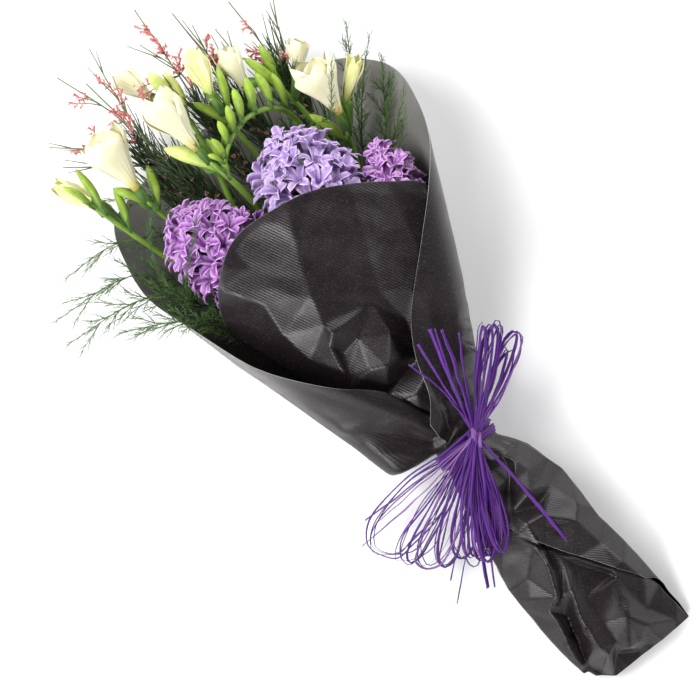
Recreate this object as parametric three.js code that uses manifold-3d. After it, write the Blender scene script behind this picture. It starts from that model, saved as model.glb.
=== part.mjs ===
// A hand-tied bouquet lying on its back: three hyacinths, eight stems of freesia, flowering broom and
// asparagus fern, rolled in two sheets of black ribbed kraft paper and cinched with a raffia bow.
// Millimetres, +Z up, blooms towards +Y. Places are measured from the tie, at x = 0 and y = 0, with the
// surface it lies on at z = 0; the last lines move the origin under the middle of the whole.
import * as THREE from "three";
import { mergeVertices } from "three/addons/utils/BufferGeometryUtils.js";
import Module from "manifold-3d";

const wasm = await Module();
wasm.setup();

// Driving dimensions
const PAPER = 0.7; // thickness of a sheet, thicker than real paper so that it is a solid
const CLEARANCE = 0.4; // least gap between two separate pieces
const NECK = { x: -9, z: 29.6, halfWidth: 18, halfHeight: 13.2 }; // paper's inner layer at the tie
const ROLL_STEP = 1.5; // how much further out the overlapping layer of the roll lies
const ROLL_TURN = 410; // degrees that the big sheet goes round the stems
const SEAM_AT_NECK = 125; // degrees from +X to the edge of the outer layer
const TAIL_LENGTH = 178; // from the tie to the folded foot of the paper
const CREASE_DEPTH = 1.3; // how deep the paper is dented below the tie
const NECK_HALF = 7; // the roll keeps its width this far either side of the tie
const STEM_END = -146; // y of the cut ends of the stems
const GOLDEN_ANGLE = 2.39996; // radians between one floret or needle and the next round a stem
const STEM_RADIUS = { hyacinth: 4.2, freesia: 1.7, broom: 1.3, fern: 1.1 };

const FINISHES = {
  paper: { color: 0x37332f, roughness: 0.62, metalness: 0 },
  raffia: { color: 0x4f1f9c, roughness: 0.6, metalness: 0 },
  lavender: { color: 0x9b86cf, roughness: 0.55, metalness: 0 },
  violet: { color: 0x8a4fb5, roughness: 0.55, metalness: 0 },
  mauve: { color: 0xa060b8, roughness: 0.55, metalness: 0 },
  cream: { color: 0xf3f0dc, roughness: 0.5, metalness: 0 },
  stem: { color: 0x6f9a35, roughness: 0.5, metalness: 0 },
  pale_stem: { color: 0x8fb04a, roughness: 0.5, metalness: 0 },
  broom: { color: 0x6f7f5c, roughness: 0.6, metalness: 0 },
  fern: { color: 0x2f5a34, roughness: 0.6, metalness: 0 },
};

const V = (x, y, z) => new THREE.Vector3(x, y, z);
const UP = V(0, 0, 1);
const degrees = THREE.MathUtils.degToRad;
const mix = THREE.MathUtils.lerp;

// A repeatable stream of numbers from 0 to 1.
function randomStream(seed) {
  let state = seed;
  return () => {
    state = (state + 0x6d2b79f5) | 0;
    let t = Math.imul(state ^ (state >>> 15), 1 | state);
    t = (t + Math.imul(t ^ (t >>> 7), 61 | t)) ^ t;
    return ((t ^ (t >>> 14)) >>> 0) / 4294967296;
  };
}

// A closed geometry as a solid for joining; one that came out inside out is turned round.
function solidOf(geometry) {
  const bare = new THREE.BufferGeometry();
  bare.setAttribute("position", geometry.getAttribute("position"));
  bare.setIndex(geometry.index);
  const merged = mergeVertices(bare, 1e-4);
  const triVerts = new Uint32Array(merged.index.array);
  const vertProperties = new Float32Array(merged.getAttribute("position").array);
  const made = new wasm.Manifold(new wasm.Mesh({ numProp: 3, vertProperties, triVerts }));
  if (made.volume() >= 0) return made;
  for (let i = 0; i < triVerts.length; i += 3) {
    [triVerts[i + 1], triVerts[i + 2]] = [triVerts[i + 2], triVerts[i + 1]];
  }
  return new wasm.Manifold(new wasm.Mesh({ numProp: 3, vertProperties, triVerts }));
}

// Joins solids that grow from one another, and drops any scrap that stayed loose.
function fuse(solids) {
  const joined = wasm.Manifold.union(solids).simplify(0.02);
  return joined.decompose().reduce((best, body) => (body.volume() > best.volume() ? body : best));
}

function geometryOf(solid) {
  const made = solid.getMesh();
  const geometry = new THREE.BufferGeometry();
  geometry.setAttribute("position", new THREE.BufferAttribute(made.vertProperties, 3));
  geometry.setIndex(new THREE.BufferAttribute(made.triVerts, 1));
  geometry.computeVertexNormals();
  return geometry;
}

// Whether a solid keeps its distance from each of the others.
function isClear(solid, others, gap = CLEARANCE) {
  const a = solid.boundingBox();
  return others.every((other) => {
    const b = other.boundingBox();
    const apart = [0, 1, 2].some((k) => a.min[k] > b.max[k] + gap || b.min[k] > a.max[k] + gap);
    return apart || solid.minGap(other, gap) >= gap * 0.999;
  });
}

// The part under construction: each finished piece, by name.
const bouquet = new THREE.Group();
const pieces = new Map();

function add(name, finish, solid) {
  const mesh = new THREE.Mesh(geometryOf(solid), new THREE.MeshStandardMaterial(FINISHES[finish]));
  mesh.name = name;
  bouquet.add(mesh);
  pieces.set(name, solid);
}

// Those of some small solids that stay clear of every finished piece.
const keepClear = (solids) => solids.filter((solid) => isClear(solid, [...pieces.values()]));

const smoothCurve = (points) => new THREE.CatmullRomCurve3(points, false, "centripetal");

// A chain of straight runs between given stations, which keep their own spacing.
class Chain extends THREE.Curve {
  constructor(stations) {
    super();
    this.stations = stations;
  }

  get runs() {
    return this.stations.length - 1;
  }

  getPoint(t) {
    const place = THREE.MathUtils.clamp(t, 0, 1) * this.runs;
    const run = Math.min(Math.floor(place), this.runs - 1);
    return this.stations[run].clone().lerp(this.stations[run + 1], place - run);
  }

  getPointAt(t) {
    return this.getPoint(t);
  }

  getTangentAt(t) {
    return this.getTangent(t);
  }
}

const smoothChain = (points, runs) => new Chain(smoothCurve(points).getSpacedPoints(runs));

// A round stem along a chain.
function stem(chain, radius, sides) {
  const section = new THREE.Shape();
  for (let i = 0; i < sides; i++) {
    const turn = (i / sides) * 2 * Math.PI;
    section[i ? "lineTo" : "moveTo"](radius * Math.cos(turn), radius * Math.sin(turn));
  }
  return solidOf(
    new THREE.ExtrudeGeometry(section, { steps: chain.runs, extrudePath: chain, bevelEnabled: false }),
  );
}

// A spindle from root to tip: a needle, bud or petal by its sides, rings and profile. profile gives the
// share of the full width at a share of the length, and bow lifts its middle towards up.
function spindle(root, tip, up, width, depth, options = {}) {
  const { sides = 4, rings = 3, bow = 0, profile = (t) => Math.sin(Math.PI * t) ** 0.7 } = options;
  const along = tip.clone().sub(root);
  const side = along.clone().cross(up).normalize();
  const lift = side.clone().cross(along).normalize();
  const geometry = new THREE.SphereGeometry(1, sides, rings + 1);
  const position = geometry.getAttribute("position");
  for (let i = 0; i < position.count; i++) {
    const [x, y, z] = [position.getX(i), position.getY(i), position.getZ(i)];
    const t = Math.acos(THREE.MathUtils.clamp(y, -1, 1)) / Math.PI;
    const ring = Math.hypot(x, z) || 1;
    const place = root.clone().addScaledVector(along, t);
    place.addScaledVector(side, ((width / 2) * profile(t) * x) / ring);
    place.addScaledVector(lift, ((depth / 2) * profile(t) * z) / ring + bow * Math.sin(Math.PI * t));
    position.setXYZ(i, place.x, place.y, place.z);
  }
  return solidOf(geometry);
}

// A thin sheet: place(u, v) is its middle surface, with u and v from 0 to 1.
function sheet(columns, rows, place) {
  const geometry = new THREE.BoxGeometry(1, 1, 1, columns, rows, 1);
  const position = geometry.getAttribute("position");
  const step = 1e-3;
  for (let i = 0; i < position.count; i++) {
    const u = position.getX(i) + 0.5;
    const v = position.getY(i) + 0.5;
    const middle = place(u, v);
    const acrossU = place(Math.min(u + step, 1), v).sub(place(Math.max(u - step, 0), v));
    const acrossV = place(u, Math.min(v + step, 1)).sub(place(u, Math.max(v - step, 0)));
    const normal = acrossU.cross(acrossV).normalize();
    const flat = middle.z <= PAPER / 2;
    if (flat) {
      normal.set(0, 0, -1);
      middle.z = PAPER / 2;
    }
    middle.addScaledVector(normal, position.getZ(i) * PAPER);
    position.setXYZ(i, middle.x, middle.y, Math.max(middle.z, 0));
  }
  // Both faces are split along the same diagonals, so that they keep their distance
  const index = geometry.index.array;
  const back = geometry.groups[5];
  for (let i = back.start; i < back.start + back.count; i += 6) {
    const [a, b, d, , c] = index.slice(i, i + 5);
    index.set([a, b, c, a, c, d], i);
  }
  return solidOf(geometry);
}

// The big sheet: a roll round the stems that opens into a cone above the tie
const RIM = smoothCurve([
  V(-19, 24, 62), V(-8, 38, 68), V(0, 61, 74), V(13, 83, 80), V(44, 113, 93), V(71, 139, 98),
  V(88, 159, 93), V(101, 179, 78), V(107, 198, 59), V(105, 212, 40), V(98, 224, 24), V(83, 238, 10),
  V(55, 250, -4), V(10, 257, -14), V(-40, 258, -14), V(-75, 254, -2), V(-96, 246, 14),
  V(-105, 222, 30), V(-107, 194, 46), V(-96, 158, 66), V(-78, 114, 77), V(-53, 81, 73),
  V(-28, 57, 59), V(-20, 37, 49), V(-18, 27, 45),
]);

// Sections of the roll below the tie; seam is the angle of the outer layer's edge
const TAIL = [
  { ...NECK, y: NECK_HALF, seam: SEAM_AT_NECK },
  { ...NECK, y: -NECK_HALF, seam: SEAM_AT_NECK },
  { y: -24, x: -6, halfWidth: 25, halfHeight: 18.5, z: 24, seam: 124 },
  { y: -50, x: -5, halfWidth: 31, halfHeight: 20, z: 21, seam: 122 },
  { y: -88, x: -9.5, halfWidth: 34, halfHeight: 20.5, z: 20, seam: 82 },
  { y: -120, x: -7.5, halfWidth: 36, halfHeight: 19, z: 18.5, seam: 50 },
  { y: -150, x: -5.5, halfWidth: 35, halfHeight: 15, z: 14, seam: 12 },
  { y: -168, x: -5, halfWidth: 33, halfHeight: 9, z: 9, seam: 4 },
  { y: -TAIL_LENGTH, x: -4, halfWidth: 31, halfHeight: 4, z: 5.2, seam: 2 },
];

function tailSection(y) {
  const next = Math.max(1, TAIL.findIndex((section) => section.y <= y));
  const [a, b] = [TAIL[next - 1], TAIL[next]];
  const t = (y - a.y) / (b.y - a.y);
  return Object.fromEntries(Object.keys(a).map((key) => [key, mix(a[key], b[key], t)]));
}

// The rolled sheet at a share u of its width, on the section at y.
function rollPoint(u, y) {
  const section = tailSection(y);
  const angle = degrees(section.seam - u * ROLL_TURN);
  // The layers part below the tie, and meet again at the foot
  const parting = 1 + 1.6 * Math.sin(Math.PI * Math.min(1, -y / TAIL_LENGTH));
  const out = ROLL_STEP * parting * (1 - u);
  const crease = y > -12 ? 0 : CREASE_DEPTH * Math.sin(3 * angle + y / 17) * Math.sin(y / 11);
  const x = section.x + (section.halfWidth + out + crease) * Math.cos(angle);
  const z = section.z + (section.halfHeight + out + crease) * Math.sin(angle);
  const cornerRise = y < -160 ? 10 : 0; // the foot's corners end further up than its middle
  return V(x, y + cornerRise * (Math.abs(x - section.x) / section.halfWidth) ** 2, z);
}

// The cone at a share u of its width and a share s of the way from the tie to the rim.
function conePoint(u, s) {
  const low = rollPoint(u, NECK_HALF);
  const high = RIM.getPointAt(u);
  const smooth = THREE.MathUtils.smoothstep;
  // How straight the cone is from neck to rim: 1 is straight, and less than 1 swells out near the neck
  const atSeams = 0.25 * smooth(u, 0, 0.1) + 0.5 * smooth(u, 0.78, 0.88);
  const straightness = 0.6 + atSeams - 0.25 * smooth(u, 0.2, 0.6);
  const pouch = 0.15 * smooth(u, 0.5, 0.68) * (1 - smooth(u, 0.78, 0.9)); // above the tie, at the left
  const swell = s ** straightness;
  const bulge = pouch * Math.sin(Math.PI * Math.min(1, s / 0.3));
  return V(mix(low.x, high.x, swell + bulge), mix(low.y, high.y, s), mix(low.z, high.z, swell));
}

// Rows of a sheet: y up to the neck's top, and above it percents of the way up the cone
const TAIL_ROWS = [-TAIL_LENGTH, -168, -150, -125, -95, -62, -32, -NECK_HALF];
const ROLL_ROWS = [...TAIL_ROWS, NECK_HALF, 12, 22, 38, 58, 82, 107];
const FAN_ROWS = [-10, NECK_HALF, 20, 38, 60, 83, 107];

function levelAt(rows, v) {
  const place = v * (rows.length - 1);
  const row = Math.min(Math.floor(place), rows.length - 2);
  return mix(rows[row], rows[row + 1], place - row);
}

function rollPlace(u, v) {
  const level = levelAt(ROLL_ROWS, v);
  return level < NECK_HALF ? rollPoint(u, level) : conePoint(u, (level - NECK_HALF) / 100);
}

add("wrap_outer", "paper", sheet(26, ROLL_ROWS.length - 1, rollPlace));

// The small sheet: a fan in front of the stems, caught by the tie at its foot
const FAN_RIM = smoothCurve([
  V(64, 112, 66), V(69, 129, 79), V(70, 143, 88), V(55, 156, 92), V(35, 170, 95), V(12, 182, 97),
  V(-11, 187, 97), V(-34, 189, 95), V(-46, 186.5, 93.5), V(-57, 180, 90), V(-68, 171, 82),
  V(-78, 155.4, 64), V(-80, 142, 50), V(-74, 126, 40),
]);

function fanPlace(u, v) {
  const angle = degrees(mix(172, 15, u));
  const inset = ROLL_STEP * 0.85;
  const level = levelAt(FAN_ROWS, v);
  const foot = V(
    NECK.x + (NECK.halfWidth - inset) * Math.cos(angle),
    Math.min(level, NECK_HALF),
    NECK.z + (NECK.halfHeight - inset) * Math.sin(angle),
  );
  if (level <= NECK_HALF) return foot;
  const high = FAN_RIM.getPointAt(1 - u);
  const s = (level - NECK_HALF) / 100;
  return V(mix(foot.x, high.x, s ** 0.9), mix(foot.y, high.y, s), mix(foot.z, high.z, s ** 1.4));
}

add("wrap_inner", "paper", sheet(14, FAN_ROWS.length - 1, fanPlace));

// Raffia: a band round the neck, and a bow of loops and loose ends that spring from its knot
const BAND = { halfWidth: 21.4, halfHeight: 16.6, thickness: 1.6, width: 10 };
const KNOT = V(-2, 1, 50);

function raffiaBand() {
  const geometry = new THREE.TorusGeometry(1, 0.2, 4, 24);
  const position = geometry.getAttribute("position");
  for (let i = 0; i < position.count; i++) {
    const [x, y, z] = [position.getX(i), position.getY(i), position.getZ(i)];
    const turn = Math.atan2(y, x);
    const out = ((Math.hypot(x, y) - 1) / 0.2) * (BAND.thickness / 2);
    position.setXYZ(
      i,
      NECK.x + (BAND.halfWidth + out) * Math.cos(turn),
      (z / 0.2) * (BAND.width / 2),
      NECK.z + (BAND.halfHeight + out) * Math.sin(turn),
    );
  }
  return solidOf(geometry);
}

add("raffia_tie", "raffia", raffiaBand());

// A flat strand of raffia along a curve through points.
function strand(points, width, runs) {
  const thickness = 0.9;
  const section = new THREE.Shape();
  section.moveTo(-thickness / 2, -width / 2);
  section.lineTo(thickness / 2, -width / 2);
  section.lineTo(thickness / 2, width / 2);
  section.lineTo(-thickness / 2, width / 2);
  const extrudePath = smoothChain(points, runs);
  return solidOf(new THREE.ExtrudeGeometry(section, { steps: runs, extrudePath, bevelEnabled: false }));
}

// Shares of a loop's run, sway and rise, from the knot round its far end and back
const LOOP_SHAPE = [
  [0, 0.05, 0], [0.5, 0.8, 1], [0.93, 0.7, 0.4], [1, 0, 0],
  [0.9, -0.75, 0.4], [0.5, -0.8, 0.9], [0, -0.05, 0],
];

// A loop leaves the knot, turns at its far end and comes back. far is its furthest point, sway how far
// its two runs bow apart, and rise how high they arch.
function raffiaLoop({ far, sway, rise, width }) {
  const run = far.clone().sub(KNOT);
  const across = run.clone().cross(UP).normalize();
  const points = LOOP_SHAPE.map(([share, offset, up]) =>
    KNOT.clone().addScaledVector(run, share).addScaledVector(across, offset * sway).add(V(0, 0, up * rise)));
  return strand(points, width, 8);
}

// A loose end runs from the knot to its cut tip.
function raffiaEnd({ tip, rise, width }) {
  const middle = KNOT.clone().lerp(tip, 0.5).add(V(0, 0, rise));
  return strand([KNOT.clone(), middle, tip], width, 3);
}

const raffiaLoops = [
  { far: V(52, 47, 74), sway: 7, rise: 6, width: 3 },
  { far: V(57, 36, 68), sway: 9, rise: 3, width: 2.4 },
  { far: V(45, 52, 80), sway: 5, rise: 9, width: 2.6 },
  { far: V(-93, -22, 18), sway: 15, rise: 16, width: 2.6 },
  { far: V(-86, -34, 14), sway: 10, rise: 19, width: 3 },
  { far: V(-66, -50, 14), sway: 11, rise: 22, width: 2.8 },
  { far: V(-50, -62, 28), sway: 9, rise: 16, width: 3 },
  { far: V(-40, -66, 44), sway: 8, rise: 8, width: 3.2 },
  { far: V(-32, -64, 50), sway: 6, rise: 5, width: 2.6 },
];
const raffiaEnds = [
  { tip: V(17, 71, 86), rise: 4, width: 3.2 },
  { tip: V(23, 66, 88), rise: 5, width: 2.6 },
  { tip: V(6, 68, 82), rise: 4, width: 2.4 },
  { tip: V(-6, 62, 78), rise: 6, width: 1.8 },
  { tip: V(2, -94, 47), rise: 3, width: 3 },
  { tip: V(-54, -80, 20), rise: 14, width: 3.6 },
  { tip: V(-70, -62, 12), rise: 18, width: 1.8 },
  { tip: V(-88, 2, 26), rise: 16, width: 2 },
];

const knot = spindle(KNOT.clone().add(V(-11, -2, 0)), KNOT.clone().add(V(11, 2, 0)), UP, 12, 7, { sides: 6 });
add("raffia_bow", "raffia", fuse([knot, ...raffiaLoops.map(raffiaLoop), ...raffiaEnds.map(raffiaEnd)]));

// Places of the stems in the tie, from the neck's middle: rows of hyacinth, freesia, broom and fern, one
// under the other, each stem a hair's breadth from the next.
const ROW_TOPS = { freesia: 0.35 };
ROW_TOPS.broom = ROW_TOPS.freesia - 2 * STEM_RADIUS.freesia - CLEARANCE;
ROW_TOPS.fern = ROW_TOPS.broom - 2 * STEM_RADIUS.broom - CLEARANCE;

function slotInRow(kind, place, pitch = 2 * STEM_RADIUS[kind] + CLEARANCE) {
  return [place * pitch, ROW_TOPS[kind] - STEM_RADIUS[kind]];
}

// A stem from its cut end in the tail, through its slot in the tie, to the points it passes above. The
// first points are straight runs inside the paper, and the visible ones a smooth curve of as many runs.
function stemChain([x, z], points, hidden, runs) {
  const cutEnd = V(NECK.x + x * 1.25, STEM_END + x * 0.4, 14 + z * 1.15);
  const throughTie = [-14, 14].map((y) => V(NECK.x + x, y, NECK.z + z));
  const curve = smoothCurve(points.slice(hidden - 1)).getSpacedPoints(runs);
  return new Chain([cutEnd, ...throughTie, ...points.slice(0, hidden - 1), ...curve]);
}

// Hyacinths: a thick stem, and a head of six-petalled florets round a core
function floret(centre, out, radius, roll, depth) {
  const spin = new THREE.Quaternion().setFromUnitVectors(V(0, 1, 0), out);
  const geometry = new THREE.SphereGeometry(1, 12, 2);
  const position = geometry.getAttribute("position");
  for (let i = 0; i < position.count; i++) {
    const [x, y, z] = [position.getX(i), position.getY(i), position.getZ(i)];
    const place = V(0, y > 0 ? -2.5 : -depth, 0); // throat, or root
    if (Math.abs(y) < 0.5) {
      const turn = Math.atan2(z, x);
      const isTip = Math.round((turn / Math.PI) * 6) % 2 === 0;
      const reach = isTip ? radius : radius * 0.42;
      place.set(reach * Math.cos(turn + roll), isTip ? -2.6 : 0.6, reach * Math.sin(turn + roll));
    }
    place.applyQuaternion(spin).add(centre);
    position.setXYZ(i, place.x, place.y, place.z);
  }
  return solidOf(geometry);
}

function hyacinthHead({ foot, top, radius, florets, petal, seed }) {
  const random = randomStream(seed);
  const axis = top.clone().sub(foot);
  const length = axis.length();
  axis.normalize();
  const across = V(1, 0, 0).cross(axis).normalize();
  const side = axis.clone().cross(across);
  // The head widens from its foot, and closes in over its top two fifths
  const closing = (t) => (Math.max(0, t - 0.6) / 0.42) ** 2.4;
  const widthAt = (t) => radius * Math.min(1, 0.72 + 0.55 * t) * Math.sqrt(Math.max(0, 1 - closing(t)));
  const core = spindle(foot, top.clone().addScaledVector(axis, -6), UP, radius * 1.6, radius * 1.6, {
    sides: 8,
    rings: 4,
    profile: (t) => Math.sin(Math.PI * t) ** 0.5,
  });
  const stars = [];
  for (let k = 0; k < florets; k++) {
    const t = 0.08 + 0.9 * ((k + 0.5) / florets) ** 0.86;
    const turn = k * GOLDEN_ANGLE + 0.3 * random();
    const out = side.clone().multiplyScalar(Math.cos(turn)).addScaledVector(across, Math.sin(turn));
    const lean = Math.max(0, t - 0.55) * 2.6 - 0.15;
    out.addScaledVector(axis, lean).normalize();
    const width = widthAt(t);
    const centre = foot.clone().addScaledVector(axis, t * length - Math.max(0, t - 0.8) * 14);
    centre.addScaledVector(side, width * Math.cos(turn)).addScaledVector(across, width * Math.sin(turn));
    centre.addScaledVector(out, -1 - 1.5 * random());
    stars.push(floret(centre, out, petal * (0.9 + 0.2 * random()), random() * Math.PI, 9));
  }
  return fuse([core, ...stars]);
}

const hyacinths = [
  { name: "hyacinth_middle", finish: "lavender", slot: [0, 7.1], gate: V(6, 80, 44), foot: V(14, 145, 55),
    top: V(18, 227, 60), radius: 29.5, florets: 22, petal: 13.2, seed: 11 },
  { name: "hyacinth_left", finish: "violet", slot: [-8.5, 4.9], gate: V(-24, 80, 36), foot: V(-48, 150, 47),
    top: V(-60, 229, 53), radius: 27.5, florets: 21, petal: 12.5, seed: 23 },
  { name: "hyacinth_right", finish: "mauve", slot: [8.5, 4.9], gate: V(24, 70, 36), foot: V(54, 124, 46),
    top: V(68, 184, 51), radius: 22, florets: 15, petal: 11.5, seed: 37 },
];

for (const plant of hyacinths) {
  add(plant.name, plant.finish, hyacinthHead(plant));
  const seat = plant.foot.clone().lerp(plant.top, -0.006);
  const chain = stemChain(plant.slot, [plant.gate, seat], 1, 4);
  add(`${plant.name}_stem`, "stem", stem(chain, STEM_RADIUS.hyacinth, 7));
}

// Freesias: wiry stems that arch over at the top, with trumpets facing up and a comb of buds
function trumpet(base, mouth, width) {
  const along = mouth.clone().sub(base);
  const side = along.clone().cross(UP).normalize();
  const lift = side.clone().cross(along).normalize();
  // From the base over the rim to the throat: share of the length, and radius as a share of the mouth's
  const profile = [[0, 0], [0.3, 0.17], [0.66, 0.58], [1, 1], [0.7, 0.4], [0.46, 0.1], [0.4, 0]];
  const rings = profile.length - 1;
  const perPetal = width > 30 ? 3 : 2;
  const columns = 6 * perPetal;
  const geometry = new THREE.SphereGeometry(1, columns, rings);
  const position = geometry.getAttribute("position");
  for (let i = 0; i < position.count; i++) {
    const [x, y, z] = [position.getX(i), position.getY(i), position.getZ(i)];
    const ring = Math.round((Math.acos(THREE.MathUtils.clamp(y, -1, 1)) / Math.PI) * rings);
    const turn = Math.atan2(z, x);
    const betweenPetals = Math.round((turn / (2 * Math.PI) + 1) * columns) % perPetal === 0;
    const [share, radius] = profile[ring];
    const notch = ring === 3 && betweenPetals ? 0.84 : 1;
    const reach = (width / 2) * radius * (betweenPetals ? 0.82 : 1);
    const place = base.clone().addScaledVector(along, share * notch);
    place.addScaledVector(side, reach * Math.cos(turn));
    place.addScaledVector(lift, reach * Math.sin(turn) + 3 * share * share);
    position.setXYZ(i, place.x, place.y, place.z);
  }
  return solidOf(geometry);
}

// A bud or a bract, thickest past its middle.
function bud(root, tip, width) {
  return spindle(root, tip, UP, width, width * 0.9, {
    sides: 5,
    rings: 2,
    profile: (t) => Math.sin(Math.PI * t ** 1.15) ** 0.6,
  });
}

// Each path starts with the points that the stem passes inside the paper. A bud is its root, tip and
// width. A bloom has a calyx, which grows from the stem, under its base.
const freesias = [
  { name: "freesia_1", path: [V(-36, 80, 22), V(-62, 150, 20), V(-78, 196, 22),
      V(-88, 228, 36), V(-94, 248, 45), V(-98, 262, 52)],
    buds: [[V(-90, 234, 38), V(-80, 262, 46), 7], [V(-95, 251, 47), V(-91, 285, 60), 7],
      [V(-97, 259, 50), V(-104, 281, 64), 6]],
    blooms: [{ stalk: V(-91, 238, 40), base: V(-90, 253, 36), mouth: V(-107, 284, 40), width: 22 }] },
  { name: "freesia_2", path: [V(-27, 80, 22), V(-48, 150, 19), V(-60, 202, 16),
      V(-67, 230, 32), V(-69, 242, 50)],
    buds: [[V(-67, 234, 38), V(-55, 260, 48), 8], [V(-68, 238, 44), V(-81, 261, 56), 8]],
    blooms: [{ stalk: V(-69, 241, 48), base: V(-69, 251, 56), mouth: V(-69, 292, 64), width: 42 }] },
  { name: "freesia_3", path: [V(-17, 80, 22), V(-31, 150, 19), V(-31, 198, 22),
      V(-21, 240, 32), V(-17, 270, 38), V(-21, 284, 42)],
    buds: [[V(-17, 268, 37), V(-9, 306, 46), 8], [V(-19, 280, 41), V(-19, 309, 58), 9],
      [V(-18, 262, 36), V(-36, 280, 34), 7]],
    blooms: [{ stalk: V(-20, 281, 41), base: V(-27, 290, 40), mouth: V(-34, 314, 38), width: 26 }] },
  { name: "freesia_4", path: [V(-8, 80, 22), V(-14, 150, 20), V(-17, 185, 32),
      V(-19, 212, 50), V(-23, 236, 61)],
    buds: [[V(-20, 220, 54), V(-16, 249, 58), 8], [V(-21, 224, 56), V(-33, 249, 60), 8],
      [V(-22, 230, 58), V(-45, 267, 60), 10]],
    blooms: [{ stalk: V(-23, 235, 60), base: V(-24.5, 246, 66), mouth: V(-26, 288, 74), width: 38 }] },
  { name: "freesia_5", path: [V(2, 80, 22), V(5, 150, 19), V(3, 200, 18), V(2, 236, 34),
      V(2, 256, 50)],
    buds: [[V(2, 244, 40), V(-9, 272, 52), 8], [V(2, 250, 45), V(17, 280, 60), 7]],
    blooms: [{ stalk: V(2, 254, 49), base: V(2, 265, 56), mouth: V(10, 296, 62), width: 24 }] },
  { name: "freesia_6", path: [V(12, 80, 22), V(23, 150, 18), V(32, 200, 18), V(35, 226, 36),
      V(28, 238, 54), V(14, 243, 61), V(0, 240, 64), V(-9, 236, 65), V(-16, 230, 62)],
    buds: [[V(34, 231, 43), V(41, 256, 52), 7], [V(28, 238, 54), V(33, 262, 62), 8],
      [V(17, 243, 60), V(26, 263, 70), 8], [V(7, 242, 63), V(16, 262, 75), 7.5],
      [V(-1, 240, 64), V(6, 256, 76), 7], [V(-8, 237, 65), V(-4, 252, 75), 6.5],
      [V(-14, 232, 63), V(-14, 246, 72), 6], [V(-16, 230, 62), V(-22, 240, 66), 5]],
    blooms: [] },
  { name: "freesia_7", path: [V(21, 80, 22), V(38, 150, 18), V(51, 187, 30), V(55, 199, 48)],
    buds: [[V(52, 191, 33), V(43, 222, 44), 8]],
    blooms: [{ stalk: V(55, 198, 46), base: V(58, 209, 58), mouth: V(62, 246, 68), width: 40 },
      { stalk: V(54, 196, 42), base: V(64, 212, 48), mouth: V(87, 229, 58), width: 15 }] },
  { name: "freesia_8", path: [V(30, 80, 23), V(50, 150, 22), V(43, 195, 18), V(42, 232, 32),
      V(38, 254, 40)],
    buds: [[V(40, 242, 36), V(33, 274, 52), 8], [V(39, 248, 38), V(46, 275, 48), 8]],
    blooms: [{ stalk: V(38, 252, 40), base: V(22, 258, 46), mouth: V(27, 285, 52), width: 26 },
      { stalk: V(42, 234, 33), base: V(54, 247, 36), mouth: V(66, 262, 40), width: 26 }] },
];

freesias.forEach((plant, k) => {
  const slot = slotInRow("freesia", k - 3.5);
  const body = stem(stemChain(slot, plant.path, 2, 2 * plant.path.length - 2), STEM_RADIUS.freesia, 5);
  const calyxes = plant.blooms.map(({ stalk, base }) => bud(stalk, base, 6));
  const buds = plant.buds.map(([root, tip, width]) => bud(root, tip, width));
  add(plant.name, "stem", fuse([body, ...calyxes, ...keepClear(buds)]));
  plant.blooms.forEach(({ base, mouth, width }, i) => {
    const seat = base.clone().addScaledVector(mouth.clone().sub(base).normalize(), CLEARANCE);
    add(`${plant.name}_bloom_${i + 1}`, "cream", trumpet(seat, mouth, width));
  });
});

// Needles or florets set round a chain at the golden angle, leaning towards its tip.
function setAlong(chain, { count, from, to, length, width, lean, seed, sides = 3, rings = 1 }) {
  const random = randomStream(seed);
  return Array.from({ length: count }, (_, k) => {
    const t = mix(from, to, (k + random() * 0.6) / count);
    const forward = chain.getTangentAt(t);
    const side = forward.clone().cross(UP).normalize();
    const lift = side.clone().cross(forward);
    const turn = k * GOLDEN_ANGLE + random();
    const out = side.multiplyScalar(Math.cos(turn)).addScaledVector(lift, Math.sin(turn));
    const direction = forward.multiplyScalar(Math.cos(lean)).addScaledVector(out, Math.sin(lean));
    const root = chain.getPointAt(t).addScaledVector(direction, -width);
    const tip = root.clone().addScaledVector(direction, length * (0.75 + 0.5 * random()));
    return spindle(root, tip, UP, width, width, { sides, rings });
  });
}

// Broom: forked grey-green twigs with fine needles and small red trumpets. place is the freesia stem that
// each lies under in the tie, from the middle.
const brooms = [
  { name: "broom_1", place: -2.5, path: [V(-26, 80, 15), V(-44, 150, 12), V(-52, 205, 14), V(-52, 250, 26),
      V(-50, 290, 36), V(-65, 338, 36)],
    forks: [[V(-52, 250, 26), V(-72, 285, 28), V(-96, 307, 36)]] },
  { name: "broom_2", place: -1.5, path: [V(-13, 80, 15), V(-23, 150, 12), V(-34, 200, 14), V(-40, 236, 36),
      V(-46, 268, 50), V(-53, 322, 56)],
    forks: [[V(-40, 236, 36), V(-52, 256, 36), V(-74, 274, 36), V(-97, 291, 48)],
      [V(-46, 268, 50), V(-44, 300, 58), V(-38, 337, 60)]] },
  { name: "broom_3", place: -0.5, path: [V(-3, 80, 15), V(-4, 150, 12), V(-8, 205, 14), V(-9, 246, 28),
      V(-4, 300, 38), V(-1, 340, 44)],
    forks: [[V(-9, 246, 28), V(-3, 292, 32), V(-12, 322, 34)]] },
  { name: "broom_4", place: 1.5, path: [V(7, 80, 15), V(15, 150, 12), V(16, 205, 10), V(14, 246, 22),
      V(16, 288, 34), V(16, 324, 42)],
    forks: [[V(14, 246, 22), V(30, 280, 32), V(31, 300, 36)]] },
  { name: "broom_5", place: 2.5, path: [V(18, 80, 15), V(33, 150, 13), V(42, 205, 10), V(46, 246, 22),
      V(48, 276, 32), V(48, 308, 38)],
    forks: [[V(46, 246, 22), V(58, 266, 26), V(68, 292, 34)]] },
];

const BROOM_NEEDLE = { count: 3, length: 16, width: 1.1, lean: 0.5 };
const BROOM_FLORET = { count: 3, length: 9, width: 3, lean: 0.9 };

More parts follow.
